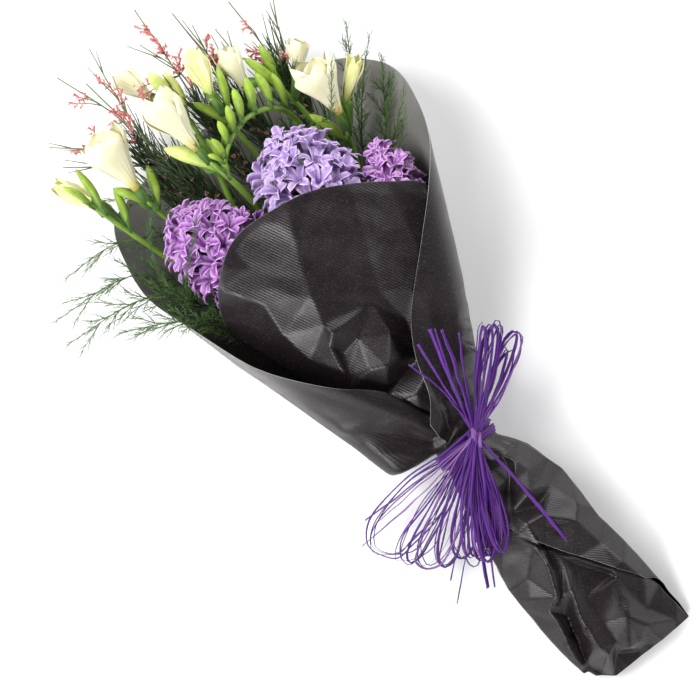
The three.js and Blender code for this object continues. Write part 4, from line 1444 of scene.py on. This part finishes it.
@dataclass(frozen=True)
class FloretShape:
    """A hyacinth floret: a short tube whose six petals curl back."""

    reach: float  # length of a petal
    width: float
    curl: float  # lean of a petal's tip, in degrees
    opening: float  # and of its foot
    tube: float  # length of the tube
    seed: int

    def pattern(self) -> Mesh:
        """Builds it as a pattern that looks along +Z from its throat."""
        stream = Stream(self.seed)
        bm = new_mesh()
        for k in range(6):
            petal = PetalShape(
                self.reach * stream.uniform(0.9, 1.1), self.width * stream.uniform(0.86, 1.12), foot=0.6,
                widest=0.64, blunt=2.6, start=self.opening * stream.uniform(0.5, 1.2),
                end=self.curl * stream.uniform(0.75, 1.15), bend=1.6, cup=0.2, thickness=0.4,
            )
            turn = Matrix.Rotation(math.tau * k / 6 + stream.uniform(-0.12, 0.12), 4, "Z")
            twist = Matrix.Rotation(stream.uniform(-0.22, 0.22), 4, "X")
            petal.add_to(bm, turn @ Matrix.Translation((1.5, 0, -1.2)) @ twist, seed=k)
        throat = new_mesh()
        shape = ((0.0, 0.0), (0.0, 1.6), (0.45, 2.3), (0.8, 1.9), (1.0, 2.2), (1.0, 0.0))
        tube(throat, Route([(0, 0, -self.tube), (0, 0, -self.tube / 2), (0, 0, -0.6)], 4), shape, 7)
        uv = throat.loops.layers.uv[FLAT]
        for face in throat.faces:
            for loop in face.loops:
                loop[uv].uv.y *= 0.14
        join(bm, throat)
        return pattern(f"floret_{self.seed}", bm)


@dataclass
class Hyacinth:
    """One hyacinth: a thick stem and a head of florets that face out all round."""

    name: str
    finish: PetalFinish
    slot: tuple[float, float]
    gate: Point  # where its stem passes on the way up
    foot: Point
    top: Point
    radius: float
    florets: int
    petal: float
    seed: int
    extras: tuple[tuple[Point, Point, float], ...] = ()  # place, direction and size of loose florets
    pressed: float = 0.0  # how far the paper at its right holds its florets in
    sunk: float = 9.3  # how far inside the head's outline a floret starts
    uneven: float = 3.0  # by how much that varies

    def width_at(self, t: float) -> float:
        """The head's radius at a share of its length."""
        closing = (max(0.0, t - 0.6) / 0.42) ** 2.4
        return self.radius * min(1.0, 0.72 + 0.55 * t) * math.sqrt(max(0.0, 1 - closing))

    def head(self) -> Piece:
        """The florets, round a core that wears the stem's finish."""
        stream = Stream(self.seed)
        foot, top = Vector(self.foot), Vector(self.top)
        axis = (top - foot).normalized()
        length = (top - foot).length
        across = Vector((1.0, 0.0, 0.0)).cross(axis).normalized()
        side = axis.cross(across)
        patterns = [
            FloretShape(self.petal, self.petal * 0.43, curl, opening, 11, self.seed * 10 + k).pattern()
            for k, (curl, opening) in enumerate(((118, 16), (98, 9), (138, 22), (82, 7), (108, 12)))
        ]
        bm = new_mesh()
        core = bowed(foot, top - axis * 8)
        join(bm, plump(core, self.radius * 0.9, 1.0, 8, 12), 1, 0.5)
        for k in range(self.florets):
            t = 0.04 + 0.96 * ((k + 0.5) / self.florets) ** 0.9
            turn = k * GOLDEN_ANGLE + 0.25 * stream.random()
            out = side * math.cos(turn) + across * math.sin(turn)
            width = self.width_at(t) - self.sunk - self.uneven * stream.random()
            width -= self.pressed * max(0.0, out.x)
            centre = foot + axis * (t * length - 8 - max(0.0, t - 0.8) * 12) + out * max(2.0, width)
            lean = 0.3 + 0.9 * t + 1.8 * max(0.0, t - 0.6) + stream.uniform(-0.4, 0.3)
            swing = out.cross(axis) * stream.uniform(-0.5, 0.5)
            size = stream.uniform(0.86, 1.08) * (1.0 if t < 0.85 else 0.85)
            strew(bm, patterns, stream, out + axis * lean + swing, centre, size)
        for place, direction, size in self.extras:
            matrix = facing(Vector(direction).normalized(), Vector(place), stream.uniform(0, math.tau), size)
            add_copy(bm, stream.choice(patterns), matrix, 0.9)
        worn = [self.finish, THICK_STEM]
        return make_piece(f"{self.name}_florets", bm, worn, [self.name], recalculate=False)

    def stem(self) -> Piece:
        """The stem, from its cut end into the head."""
        route = BUNDLE.route(self.slot, [self.gate, self.foot])
        bm = new_mesh()
        radius = Kind.HYACINTH.value
        join(bm, stalk(route, radius, radius * 0.95, 40, 14))
        return make_piece(f"{self.name}_stalk", bm, [THICK_STEM], [f"{self.name}_stem"])

    def build(self) -> list[Piece]:
        """Makes its two pieces."""
        return [self.head(), self.stem()]


# name, finish, place in the neck, gate, foot and top, radius, florets, petal and seed of each
HYACINTHS = (
    Hyacinth(
        "hyacinth_middle", LAVENDER, (0, 7.1), (6, 80, 44), (14, 145, 55), (18, 227, 60), 31.5, 88, 14.8, 11
    ),
    Hyacinth(
        "hyacinth_left", VIOLET, (-8.5, 4.9), (-24, 80, 36), (-48, 150, 47), (-60, 229, 53), 29.5, 82, 14.4,
        23, extras=(((-30, 196, 60), (0.1, 0.4, 0.9), 0.62), ((-24, 191, 58), (0.5, -0.2, 0.8), 0.6)),
    ),
    Hyacinth(
        "hyacinth_right", MAUVE, (8.5, 4.9), (24, 70, 36), (53, 124, 46), (65, 185, 51), 22.5, 62, 12.4,
        37, pressed=5.0,
    ),
)


@dataclass(frozen=True)
class Bud:
    """A freesia bud from its root on the stem to its tip."""

    root: Point
    tip: Point
    width: float
    ripe: bool = False  # whether it is about to open, and yellow


@dataclass(frozen=True)
class Bloom:
    """A freesia flower: where its calyx grows from, its base, its mouth and how wide it opens."""

    stalk: Point
    base: Point
    mouth: Point
    width: float
    roll: float = 0.0
    openness: float = 1.0  # below a half it is still yellow
    seed: int = 0

    def petal(self, k: int, length: float) -> BMesh:
        """One of its six petals, on +Z from its base.

        Args:
            k: Its number; the even ones form the inner ring.
            length: From the base to the mouth.

        Returns:
            Its mesh.
        """
        stream = Stream(self.seed * 17 + k)
        inner = k % 2 == 0
        shape = PetalShape(
            length * stream.uniform(1.0, 1.13), self.width * 0.56 * stream.uniform(0.94, 1.08), foot=0.22,
            widest=0.68, blunt=2.2, start=mix(4, 13, self.openness) + (0 if inner else 3), bend=0.9, cup=0.32,
            ripple=0.8, end=mix(-10, 26 if inner else 38, self.openness) * stream.uniform(0.75, 1.35),
            hook=mix(0, 52, self.openness) * stream.uniform(0.4, 1.3), columns=8, rows=12,
        )
        turn = Matrix.Rotation(self.roll + math.tau * k / 6 + stream.uniform(-0.1, 0.1), 4, "Z")
        place = turn @ Matrix.Translation((1.2 if inner else 2.0, 0, 0))
        return shape.part(place, stream.uniform(0, math.tau))

    def add_to(self, bm: BMesh) -> None:
        """Adds its petals and stamens to a mesh."""
        base = Vector(self.base)
        along = Vector(self.mouth) - base
        matrix = facing(along.normalized(), base)
        for k in range(6):
            part = self.petal(k, along.length)
            bmesh.ops.transform(part, matrix=matrix, verts=part.verts)
            join(bm, part, 0, 0.25 * (k % 3))
        for k in range(3):
            angle = math.tau * k / 3 + 0.5
            lean = Vector((math.cos(angle), math.sin(angle), 0)) * 2.2
            foot, head = UP * (along.length * 0.15) + lean * 0.2, UP * (along.length * 0.58) + lean
            filament = stalk(bowed(foot, head), 0.4, 0.35, 4, 5)
            anther = plump(bowed(head, head + UP * 6 + lean * 0.3), 1.5, 1.0, 5, 6)
            for part, paint in ((filament, 0), (anther, 1)):
                bmesh.ops.transform(part, matrix=matrix, verts=part.verts)
                join(bm, part, paint, 0.1)


@dataclass
class Freesia:
    """One freesia: a wiry stem with green buds, and flowers that open towards the camera."""

    number: int
    path: tuple[Point, ...]
    buds: tuple[Bud, ...]
    blooms: tuple[Bloom, ...] = ()
    girth: float = 1.15  # thickness of its stem among the flowers, as a share of that in the tie

    @property
    def name(self) -> str:
        """The name of its CAD node."""
        return f"freesia_{self.number}"

    def bud_parts(self, bm: BMesh, bud: Bud, tint: float) -> None:
        """Adds a bud with the two bracts that hold its foot."""
        root, tip = Vector(bud.root), Vector(bud.tip)
        if bud.ripe:
            tip = root.lerp(tip, 0.82)
        along = tip - root
        route = bowed(root, tip, (along.cross(UP).normalized() * 0.04 + UP * 0.03) * along.length)
        share, late, paint = (1.0, 1.1, 3) if bud.ripe else (0.8, 1.3, 1)
        join(bm, plump(route, bud.width * share, late, 10, 10), paint, tint)
        for turn, size in ((0.4, 0.46), (3.5, 0.36)):
            bract = PetalShape(
                along.length * size, bud.width, foot=0.7, widest=0.35, blunt=1.3, start=8, end=2, cup=0.32,
                thickness=0.3,
            )
            place = facing(along.normalized(), root, turn + tint * 6)
            join(bm, bract.part(place @ Matrix.Translation((bud.width * 0.12, 0, -0.5))), 2, tint)

    def build(self) -> list[Piece]:
        """Makes the stem with its buds, and each flower."""
        stream = Stream(self.number * 31)
        bm = new_mesh()
        route = BUNDLE.route(BUNDLE.slot(Kind.FREESIA, self.number - 4.5), self.path)
        thick = Kind.FREESIA.value
        rows = [(0.0, 0.0)]
        for t in (k / 60 for k in range(61)):
            swollen = mix(thick, thick * self.girth, smooth(t, 0.55, 0.68))
            rows.append((t, swollen * mix(1.0, 0.75, smooth(t, 0.8, 1.0))))
        part = new_mesh()
        tube(part, route, [*rows, (1.0, 0.0)], 8)
        join(bm, part)
        for bud in self.buds:
            self.bud_parts(bm, bud, stream.random())
        made = []
        for k, bloom in enumerate(self.blooms):
            foot, base = Vector(bloom.stalk), Vector(bloom.base)
            opened = Vector(bloom.mouth) - base
            throat = base + opened * 0.16
            join(bm, plump(bowed(foot, throat, UP * 0.6), 6.4, 1.0, 10, 10), 2, 0.2)
            along = (throat - foot).normalized()
            for turn in (0.6, 3.7, 2.2):
                reach = (throat - foot).length * stream.uniform(0.95, 1.15)
                bract = PetalShape(reach, 8.5, foot=0.75, widest=0.45, blunt=1.4, start=11, end=2, cup=0.32)
                place = facing(along, foot, turn) @ Matrix.Translation((1.2, 0, 0))
                join(bm, bract.part(place), 2, stream.random())
            flower = new_mesh()
            bloom.add_to(flower)
            node = f"{self.name}_bloom_{k + 1}"
            finishes = [YELLOW_BUD, CREAM] if bloom.openness < 0.5 else [CREAM, YELLOW_BUD]
            made.append(make_piece(f"{node}_petals", flower, finishes, [node]))
        greens = [STEM_GREEN, BUD_GREEN, BRACT_GREEN, LIME_BUD]
        return [make_piece(f"{self.name}_spray", bm, greens, [self.name]), *made]


FREESIAS = (
    Freesia(
        1, ((-36, 80, 22), (-62, 150, 20), (-78, 196, 22), (-88, 228, 36), (-94, 248, 45), (-98, 262, 52)),
        (Bud((-90, 234, 38), (-80, 262, 46), 7), Bud((-95, 251, 47), (-91, 285, 60), 7),
         Bud((-97, 259, 50), (-104, 281, 64), 6)),
        (Bloom((-91, 238, 40), (-90, 253, 36), (-107, 284, 40), 24, 0.3, 0.3, 1),),
    ),
    Freesia(
        2, ((-27, 80, 22), (-48, 150, 19), (-60, 202, 16), (-67, 230, 32), (-69, 242, 50)),
        (Bud((-67, 234, 38), (-55, 260, 48), 8), Bud((-68, 238, 44), (-81, 261, 56), 8)),
        (Bloom((-69, 241, 48), (-69, 251, 56), (-69, 292, 64), 42, 0.5, 1.0, 2),),
    ),
    Freesia(
        3,
        ((-17, 80, 22), (-31, 150, 19), (-31, 198, 22), (-21, 240, 32), (-17, 270, 38), (-21, 284, 42)),
        (Bud((-17, 268, 37), (-9, 306, 46), 8, True), Bud((-19, 280, 41), (-19, 309, 58), 9, True),
         Bud((-18, 262, 36), (-36, 280, 34), 7)),
        (Bloom((-20, 281, 41), (-27, 290, 40), (-34, 314, 38), 26, 0.2, 0.8, 3),),
    ),
    Freesia(
        4, ((-8, 80, 22), (-14, 150, 20), (-17, 185, 32), (-19, 212, 50), (-23, 236, 61)),
        (Bud((-20, 220, 54), (-16, 249, 58), 8), Bud((-21, 224, 56), (-33, 249, 60), 8),
         Bud((-22, 230, 58), (-45, 267, 60), 10, True)),
        (Bloom((-23, 235, 60), (-24.5, 246, 66), (-26, 288, 74), 38, 0.1, 0.9, 4),),
        girth=1.5,
    ),
    Freesia(
        5, ((2, 80, 22), (5, 150, 19), (3, 200, 18), (2, 236, 34), (2, 256, 50)),
        (Bud((2, 244, 40), (-9, 272, 52), 8), Bud((2, 250, 45), (17, 280, 60), 7)),
        (Bloom((2, 254, 49), (2, 265, 56), (10, 296, 62), 28, 0.4, 0.3, 5),),
    ),
    Freesia(
        6,
        ((12, 80, 22), (23, 150, 18), (32, 200, 18), (35, 226, 36), (28, 238, 54), (14, 243, 61),
         (0, 240, 64), (-9, 236, 65), (-16, 230, 62)),
        (Bud((34, 231, 43), (41, 256, 52), 7), Bud((28, 238, 54), (33, 262, 62), 8),
         Bud((17, 243, 60), (26, 263, 70), 8), Bud((7, 242, 63), (16, 262, 75), 7.5),
         Bud((-1, 240, 64), (6, 256, 76), 7), Bud((-8, 237, 65), (-4, 252, 75), 6.5),
         Bud((-14, 232, 63), (-14, 246, 72), 6), Bud((-16, 230, 62), (-22, 240, 66), 5)),
    ),
    Freesia(
        7, ((21, 80, 22), (38, 150, 18), (51, 187, 30), (55, 199, 48)),
        (Bud((52, 191, 33), (43, 222, 44), 8),),
        (Bloom((55, 198, 46), (58, 209, 58), (62, 246, 68), 40, 0.0, 1.0, 7),
         Bloom((54, 196, 42), (64, 212, 48), (87, 229, 58), 15, 0.5, 0.4, 8)),
    ),
    Freesia(
        8, ((30, 80, 23), (50, 150, 22), (43, 195, 18), (42, 232, 32), (38, 254, 40)),
        (Bud((40, 242, 36), (33, 274, 52), 8), Bud((39, 248, 38), (46, 275, 48), 8)),
        (Bloom((38, 252, 40), (22, 258, 46), (27, 285, 52), 26, 0.3, 0.7, 9),
         Bloom((42, 234, 33), (54, 247, 36), (66, 262, 40), 26, 0.8, 0.7, 10)),
    ),
)


@dataclass(frozen=True)
class Sprig:
    """A short shoot with needles all round, as a pattern on +Z."""

    name: str
    length: float
    needles: int
    needle: float  # length of a needle
    width: float
    lean: float  # from the shoot, in degrees
    seed: int

    def pattern(self) -> Mesh:
        """Builds it."""
        stream = Stream(self.seed)
        bm = new_mesh()
        bend = Vector((stream.uniform(-0.12, 0.12), stream.uniform(-0.12, 0.12), 0)) * self.length
        middle = bowed(Vector((0, 0, -0.4)), UP * self.length + bend, bend * -0.5)
        tube(bm, middle, [(0, 0), (0.0, self.width * 0.75), (0.6, self.width * 0.5), (1, 0)], 3)
        for k in range(self.needles):
            t = (k + 0.6) / self.needles
            turn = k * GOLDEN_ANGLE + stream.uniform(-0.3, 0.3)
            lean = math.radians(self.lean * stream.uniform(0.7, 1.25) * mix(1.0, 0.55, t))
            out = Vector((math.sin(lean) * math.cos(turn), math.sin(lean) * math.sin(turn), math.cos(lean)))
            root = middle.place(t * 0.97)
            size = self.needle * stream.uniform(0.7, 1.2) * mix(1.0, 0.7, t)
            curve = bowed(root - out * 0.2, root + out * size, UP * stream.uniform(-0.4, 0.5))
            tube(bm, curve, [(0, 0), (0.35, self.width * 0.5), (1, 0)], 3)
        return pattern(self.name, bm)


def scatter(
    bm: BMesh, route: Route, patterns: Sequence[Mesh], stream: Stream,
    count: int, start: float, end: float, lean: float, shrink: float, flat: float = 1.0,
) -> None:
    """Sets patterns round a stem, each turned from the last by the golden angle and leaning to its tip.

    Args:
        bm: The mesh they join.
        route: The stem.
        patterns: What is set.
        stream: Where the differences come from.
        count: How many.
        start: Share of the way where they begin.
        end: Where they end.
        lean: How far they lean off the stem, in degrees.
        shrink: Size of the last as a share of the first's.
        flat: How far the spray spreads up and down, as a share of how far it spreads sideways.
    """
    for k in range(count):
        t = (k + stream.uniform(0.1, 0.9)) / count
        place, forward, side, lift = route.frame(mix(start, end, t))
        turn = k * GOLDEN_ANGLE + stream.uniform(-0.4, 0.4)
        out = (side * math.cos(turn) + lift * math.sin(turn) * flat).normalized()
        angle = math.radians(lean * stream.uniform(0.75, 1.2) * mix(1.0, 0.6, t))
        direction = forward * math.cos(angle) + out * math.sin(angle)
        size = mix(1.0, shrink, t) * stream.uniform(0.8, 1.15)
        if place.z + min(0.0, direction.z) * 22 * size < 20:
            direction.z = abs(direction.z) + 0.1
        strew(bm, patterns, stream, direction, place, size)


@dataclass
class Broom:
    """One broom: a grey-green twig that forks, with dark needles and small coral flowers."""

    number: int
    place: float  # in its row in the neck, in stems from the middle
    path: tuple[Point, ...]
    forks: tuple[tuple[Point, ...], ...]
    clusters: tuple[Point, ...]  # where its florets are
    shoots: int = 120

    @staticmethod
    def floret() -> Mesh:
        """A small flower with three unequal petals on a slim tube, as a pattern on +Z."""
        bm = new_mesh()
        for k, reach in enumerate((4.2, 3.0, 3.4)):
            petal = PetalShape(
                reach, 1.7, foot=0.5, widest=0.6, start=6, end=44, bend=1.2, columns=2, rows=4, thickness=0.3
            )
            petal.add_to(bm, Matrix.Rotation(math.tau * k / 3, 4, "Z") @ Matrix.Translation((0.3, 0, 1.8)))
        middle = Route([(0, 0, -0.6), (0, 0, 1), (0, 0, 2.6)], 3)
        tube(bm, middle, [(0, 0), (0.2, 0.55), (1, 0.85), (1, 0)], 4)
        return pattern("coral_floret", bm)

    def sheaf(self, bm: BMesh, route: Route, start: float, end: float, stream: Stream) -> None:
        """Adds the long dark shoots that crowd along its inner part, between two shares of its way."""
        for _ in range(self.shoots):
            root, forward, side, lift = route.frame(mix(start, end, stream.random()))
            root = root + side * stream.uniform(-5, 5)
            lean = side * stream.uniform(-0.36, 0.36) + lift * stream.uniform(-0.1, 0.22)
            tip = root + (forward + lean) * stream.uniform(22, 48)
            tip.z = min(max(tip.z, 5.0), 60.0)
            shoot = bowed(root, tip, side * stream.uniform(-2.5, 2.5))
            join(bm, stalk(shoot, stream.uniform(0.4, 0.75), 0.25, 4, 4), 1, stream.random())

    def cluster(
        self, bm: BMesh, place: Vector, twigs: Sequence[Route], floret: Mesh, stream: Stream
    ) -> None:
        """Adds a few florets at a place, on a thin shoot from the nearest twig.

        Args:
            bm: The mesh they join.
            place: Their place.
            twigs: The twigs that the shoot may come from.
            floret: The floret's pattern.
            stream: Where the differences come from.
        """
        spots = [twig.place(k / 30) for twig in twigs for k in range(31)]
        root = min(spots, key=lambda spot: (spot + Vector((0, 9, 0)) - place).length)
        join(bm, stalk(bowed(root, place, Vector((1, 0, 1))), 0.4, 0.25, 5, 4), 0, 0.6)
        along = (place - root).normalized()
        for k in range(stream.choice((4, 5, 6))):
            loose = Vector([stream.uniform(-1.0, 1.0) for _ in range(3)])
            direction, size = (along * 0.7 + loose).normalized(), stream.uniform(0.65, 1.0)
            add_copy(bm, floret, facing(direction, place - along * 1.5 * k, 0.0, size), stream.random())

    def build(self) -> list[Piece]:
        """Makes the piece."""
        stream = Stream(400 + self.number)
        size = {"length": 14, "needles": 7, "needle": 11, "width": 0.6, "lean": 26}
        sprigs = [Sprig(f"broom_sprig_{k}", **size, seed=60 + k).pattern() for k in range(4)]
        floret, dusky = self.floret(), self.floret()
        for mesh, paint in ((floret, 2), (dusky, 3), *((sprig, 1) for sprig in sprigs)):
            mesh.polygons.foreach_set("material_index", [paint] * len(mesh.polygons))
        bm = new_mesh()
        route = BUNDLE.route(BUNDLE.slot(Kind.BROOM, self.place), self.path)
        join(bm, stalk(route, Kind.BROOM.value, 0.45, 50, 6), 0, 0.3)
        inside = 1 - Route(self.path[1:]).length / route.length
        outside = 1 - Route(self.path[3:]).length / route.length
        self.sheaf(bm, route, inside, mix(outside, 1, 0.1), stream)
        scatter(bm, route, sprigs, stream, 70, inside, mix(outside, 1, 0.3), lean=40, shrink=0.9)
        low, high = mix(inside, outside, 0.3), mix(outside, 1, 0.25)
        scatter(bm, route, [dusky], stream, 34, low, high, lean=80, shrink=1.0)
        twigs = [route]
        for fork in self.forks:
            twigs.append(Route(fork, 10))
            join(bm, stalk(twigs[-1], 0.8, 0.4, 16, 5), 0, 0.6)
        for twig, low in ((twig, outside if twig is route else 0.3) for twig in twigs):
            for k in range(3):
                root, forward, side, lift = twig.frame(mix(low, 0.85, (k + stream.random()) / 3))
                lean = side * stream.choice((-1, 1)) * stream.uniform(0.12, 0.35)
                lean += lift * stream.uniform(-0.05, 0.2)
                tip = root + (forward + lean) * stream.uniform(14, 26)
                join(bm, stalk(bowed(root, tip, lean), 0.5, 0.28, 6, 4), 0, stream.random())
        for place in self.clusters:
            self.cluster(bm, Vector(place), twigs, floret, stream)
        finishes = [TWIG, DARK_NEEDLE, CORAL, DUSKY]
        return [make_piece(f"broom_{self.number}_twigs", bm, finishes, [f"broom_{self.number}"])]


BROOMS = (
    Broom(
        1, -2.5,
        ((-26, 80, 15), (-44, 150, 12), (-52, 205, 14), (-52, 250, 26), (-50, 290, 36), (-65, 338, 36)),
        (((-52, 250, 26), (-72, 285, 28), (-96, 307, 36)),),
        ((-62, 320, 38), (-66, 318, 37), (-68, 298, 34), (-84, 294, 36), (-56, 292, 38), (-53, 276, 38)),
    ),
    Broom(
        2, -1.5,
        ((-13, 80, 15), (-23, 150, 12), (-34, 200, 14), (-40, 236, 36), (-46, 268, 50), (-53, 322, 56)),
        (((-40, 236, 36), (-52, 256, 36), (-74, 274, 36), (-97, 291, 48)),
         ((-46, 268, 50), (-44, 300, 58), (-38, 337, 60))),
        ((-46, 318, 58), (-43, 308, 58), (-41, 302, 58), (-48, 297, 57), (-46, 292, 56), (-51, 298, 56),
         (-49, 286, 55), (-76, 280, 44)),
    ),
    Broom(
        3, -0.5,
        ((-3, 80, 15), (-4, 150, 12), (-8, 205, 14), (-9, 246, 28), (-4, 300, 38), (-1, 340, 44)),
        (((-9, 246, 28), (-3, 292, 32), (-12, 322, 34)),),
        ((-6, 329, 44), (-2, 323, 44), (-3, 327, 44), (-3, 314, 42), (-5, 309, 42), (3, 301, 42),
         (2, 293, 42), (-1, 298, 42), (-1, 285, 42), (-30, 301, 44), (-30, 295, 46)),
    ),
    Broom(
        4, 1.5,
        ((7, 80, 15), (15, 150, 12), (16, 205, 10), (14, 246, 22), (16, 288, 34), (16, 324, 42)),
        (((14, 246, 22), (30, 280, 32), (31, 300, 36)),
         ((15, 262, 30), (17, 288, 44), (21, 310, 48))),
        ((23, 299, 46), (22, 291, 46), (19, 285, 46), (24, 284, 44), (15, 287, 46), (10, 296, 40)),
    ),
    Broom(
        5, 2.5,
        ((18, 80, 15), (33, 150, 13), (42, 205, 10), (46, 246, 22), (48, 276, 32), (48, 308, 38)),
        (((46, 246, 22), (58, 266, 26), (68, 292, 34)),),
        ((40, 275, 40), (42, 271, 40), (39, 270, 42), (53, 262, 40), (56, 259, 40), (41, 265, 44),
         (48, 291, 40)),
    ),
)


@dataclass
class Fern:
    """One asparagus fern: a thin arching stalk with feathery shoots."""

    number: int
    path: tuple[Point, ...]
    branches: int = 18
    wisps: tuple[tuple[Point, ...], ...] = ()

    def build(self) -> list[Piece]:
        """Makes the piece."""
        stream = Stream(700 + self.number)
        size = {"length": 9, "needles": 8, "needle": 3.9, "width": 0.4, "lean": 36}
        sprigs = [Sprig(f"fern_sprig_{k}", **size, seed=80 + k).pattern() for k in range(5)]
        bm = new_mesh()
        route = BUNDLE.route(BUNDLE.slot(Kind.FERN, self.number - 4.5), self.path)
        join(bm, stalk(route, Kind.FERN.value, 0.3, 60, 5), 0, 0.5)
        start = 1 - Route(self.path[1:]).length / route.length
        scatter(bm, route, sprigs, stream, 44, start, 0.995, lean=32, shrink=0.8, flat=0.6)
        twigs = [Route(wisp, 10) for wisp in self.wisps]
        for k in range(self.branches):
            share = mix(start, 0.94, (k + stream.random()) / self.branches)
            root, forward, side, lift = route.frame(share)
            out = side * (-1) ** k * stream.uniform(0.2, 0.6) + lift * stream.uniform(0.05, 0.5)
            tip = root + (forward + out) * stream.uniform(18, 34) * mix(1.0, 0.55, share)
            tip.z = min(max(tip.z, 6.0), 92.0)
            twigs.append(bowed(root, tip, forward * stream.uniform(-1.5, 1.5)))
        for twig in twigs:
            join(bm, stalk(twig, 0.35, 0.2, 8, 4), 0, stream.random())
            count = max(6, int(twig.length / 2.6))
            scatter(bm, twig, sprigs, stream, count, 0.05, 0.99, lean=28, shrink=0.7, flat=0.6)
        return [make_piece(f"fern_{self.number}_fronds", bm, [FERN], [f"fern_{self.number}"])]


FERNS = (
    Fern(1, ((-40, 80, 16), (-66, 125, 27), (-82, 152, 48), (-99, 170, 68), (-134, 189, 54))),
    Fern(
        2, ((-33, 80, 12), (-64, 140, 20), (-84, 172, 38), (-107, 195, 53), (-165, 204, 38)),
        wisps=(((-84, 172, 38), (-92, 192, 64), (-84, 218, 82), (-66, 236, 88)),
               ((-84, 172, 38), (-84, 184, 68), (-70, 196, 86), (-52, 212, 88))),
    ),
    Fern(3, ((-16, 80, 10), (-42, 145, 8), (-78, 184, 14), (-94, 201, 31), (-108, 213, 46), (-164, 221, 26))),
    Fern(4, ((-9, 80, 9), (-24, 150, 6), (-64, 210, 12), (-100, 234, 30), (-141, 238, 20))),
    Fern(5, ((-2, 80, 9), (-9, 150, 6), (-30, 215, 7), (-58, 238, 11), (-92, 262, 26))),
    Fern(
        6, ((4, 80, 9), (12, 150, 6), (26, 215, 8), (40, 240, 22), (55, 268, 52)),
        wisps=(((30, 222, 11), (52, 212, 56), (60, 220, 76), (73, 236, 86)),),
    ),
    Fern(
        7, ((12, 80, 10), (30, 140, 9), (60, 190, 14), (80, 225, 30), (97, 252, 52)),
        wisps=(((62, 193, 15), (78, 212, 38), (92, 226, 48), (103, 236, 54)),
               ((56, 183, 13), (64, 198, 42), (72, 208, 50), (82, 219, 54))), branches=12,
    ),
    Fern(
        8, ((18, 80, 12), (40, 130, 14), (66, 172, 18), (86, 200, 32), (101, 222, 52)),
        wisps=(((64, 169, 18), (70, 180, 46), (84, 193, 56), (99, 206, 64)),
               ((62, 166, 17), (70, 174, 50), (84, 184, 62), (97, 195, 68)),
               ((60, 163, 17), (70, 168, 54), (80, 175, 66), (89, 183, 73))), branches=12,
    ),
)


# The studio


@dataclass
class Studio:
    """A pale floor, soft light and the camera straight above."""

    centre: tuple[float, float] = (-28.6, 91.2)  # what the camera looks at, in millimetres from the tie
    across: tuple[float, float] = (0.7804, -0.6252)  # what points right in the image
    height: float = 2450.0
    lens: float = 199.0
    aim: Point = (0, 0.02, 0.03)  # what the lights point at, in metres

    def floor(self) -> None:
        """A wide pale floor."""
        bm = bmesh.new()
        bmesh.ops.create_grid(bm, x_segments=1, y_segments=1, size=6.0)
        mesh = as_mesh("floor", bm)
        material = bpy.data.materials.new("pale_floor")
        material.use_nodes = True
        shader = material.node_tree.nodes["Principled BSDF"]
        looks = {"Base Color": (0.93, 0.93, 0.94, 1.0), "Roughness": 0.9, "Specular IOR Level": 0.1}
        for name, value in looks.items():
            shader.inputs[name].default_value = value
        mesh.materials.append(material)
        in_scene("floor", mesh)

    def light(self, name: str, place: Point, size: float, power: float) -> None:
        """A square soft light aimed at the bouquet, placed in metres."""
        lamp = bpy.data.lights.new(name, "AREA")
        lamp.energy = power
        lamp.size = size
        light = in_scene(name, lamp)
        light.location = place
        light.rotation_euler = (Vector(self.aim) - Vector(place)).to_track_quat("-Z", "Y").to_euler()

    def build(self) -> None:
        """Sets up the floor, the lights, the world and the camera."""
        scene = bpy.context.scene
        self.floor()
        self.light("key", (-0.95, 1.05, 1.55), 1.5, 52.0)
        self.light("side", (-1.2, -0.95, 1.25), 0.7, 24.0)
        self.light("fill", (1.5, 0.5, 1.2), 1.6, 32.0)
        world = bpy.data.worlds.new("studio")
        world.use_nodes = True
        sky = Graph(world.node_tree)
        upward = sky.parts(sky.add("TexCoord").outputs["Generated"])[2]
        ground = world.node_tree.nodes["Background"]
        ground.inputs["Color"].default_value = (1.0, 1.0, 1.0, 1.0)
        sky.feed(ground.inputs["Strength"], sky.scaled(sky.ramp(upward, 0.85, 0.2), 0.75, 0.02))
        scene.world = world
        lens = bpy.data.cameras.new("camera")
        lens.lens = self.lens
        lens.sensor_width = 36.0
        lens.clip_end = 20.0
        camera = in_scene("camera", lens)
        right = Vector((*self.across, 0.0))
        up = UP.cross(right)
        place = ORIGIN + Vector((*self.centre, self.height)) * MM
        camera.matrix_world = Matrix.Translation(place) @ Matrix((right, up, UP)).transposed().to_4x4()
        scene.camera = camera
        scene.view_settings.view_transform = "Standard"


def main() -> None:
    """Builds the bouquet piece by piece."""
    logging.basicConfig(level=logging.INFO, format="%(message)s")
    Studio().build()
    BigSheet().build()
    FanSheet().build()
    Raffia().build()
    for plant in (*HYACINTHS, *FREESIAS, *BROOMS, *FERNS):
        plant.build()


if __name__ == "__main__":
    main()
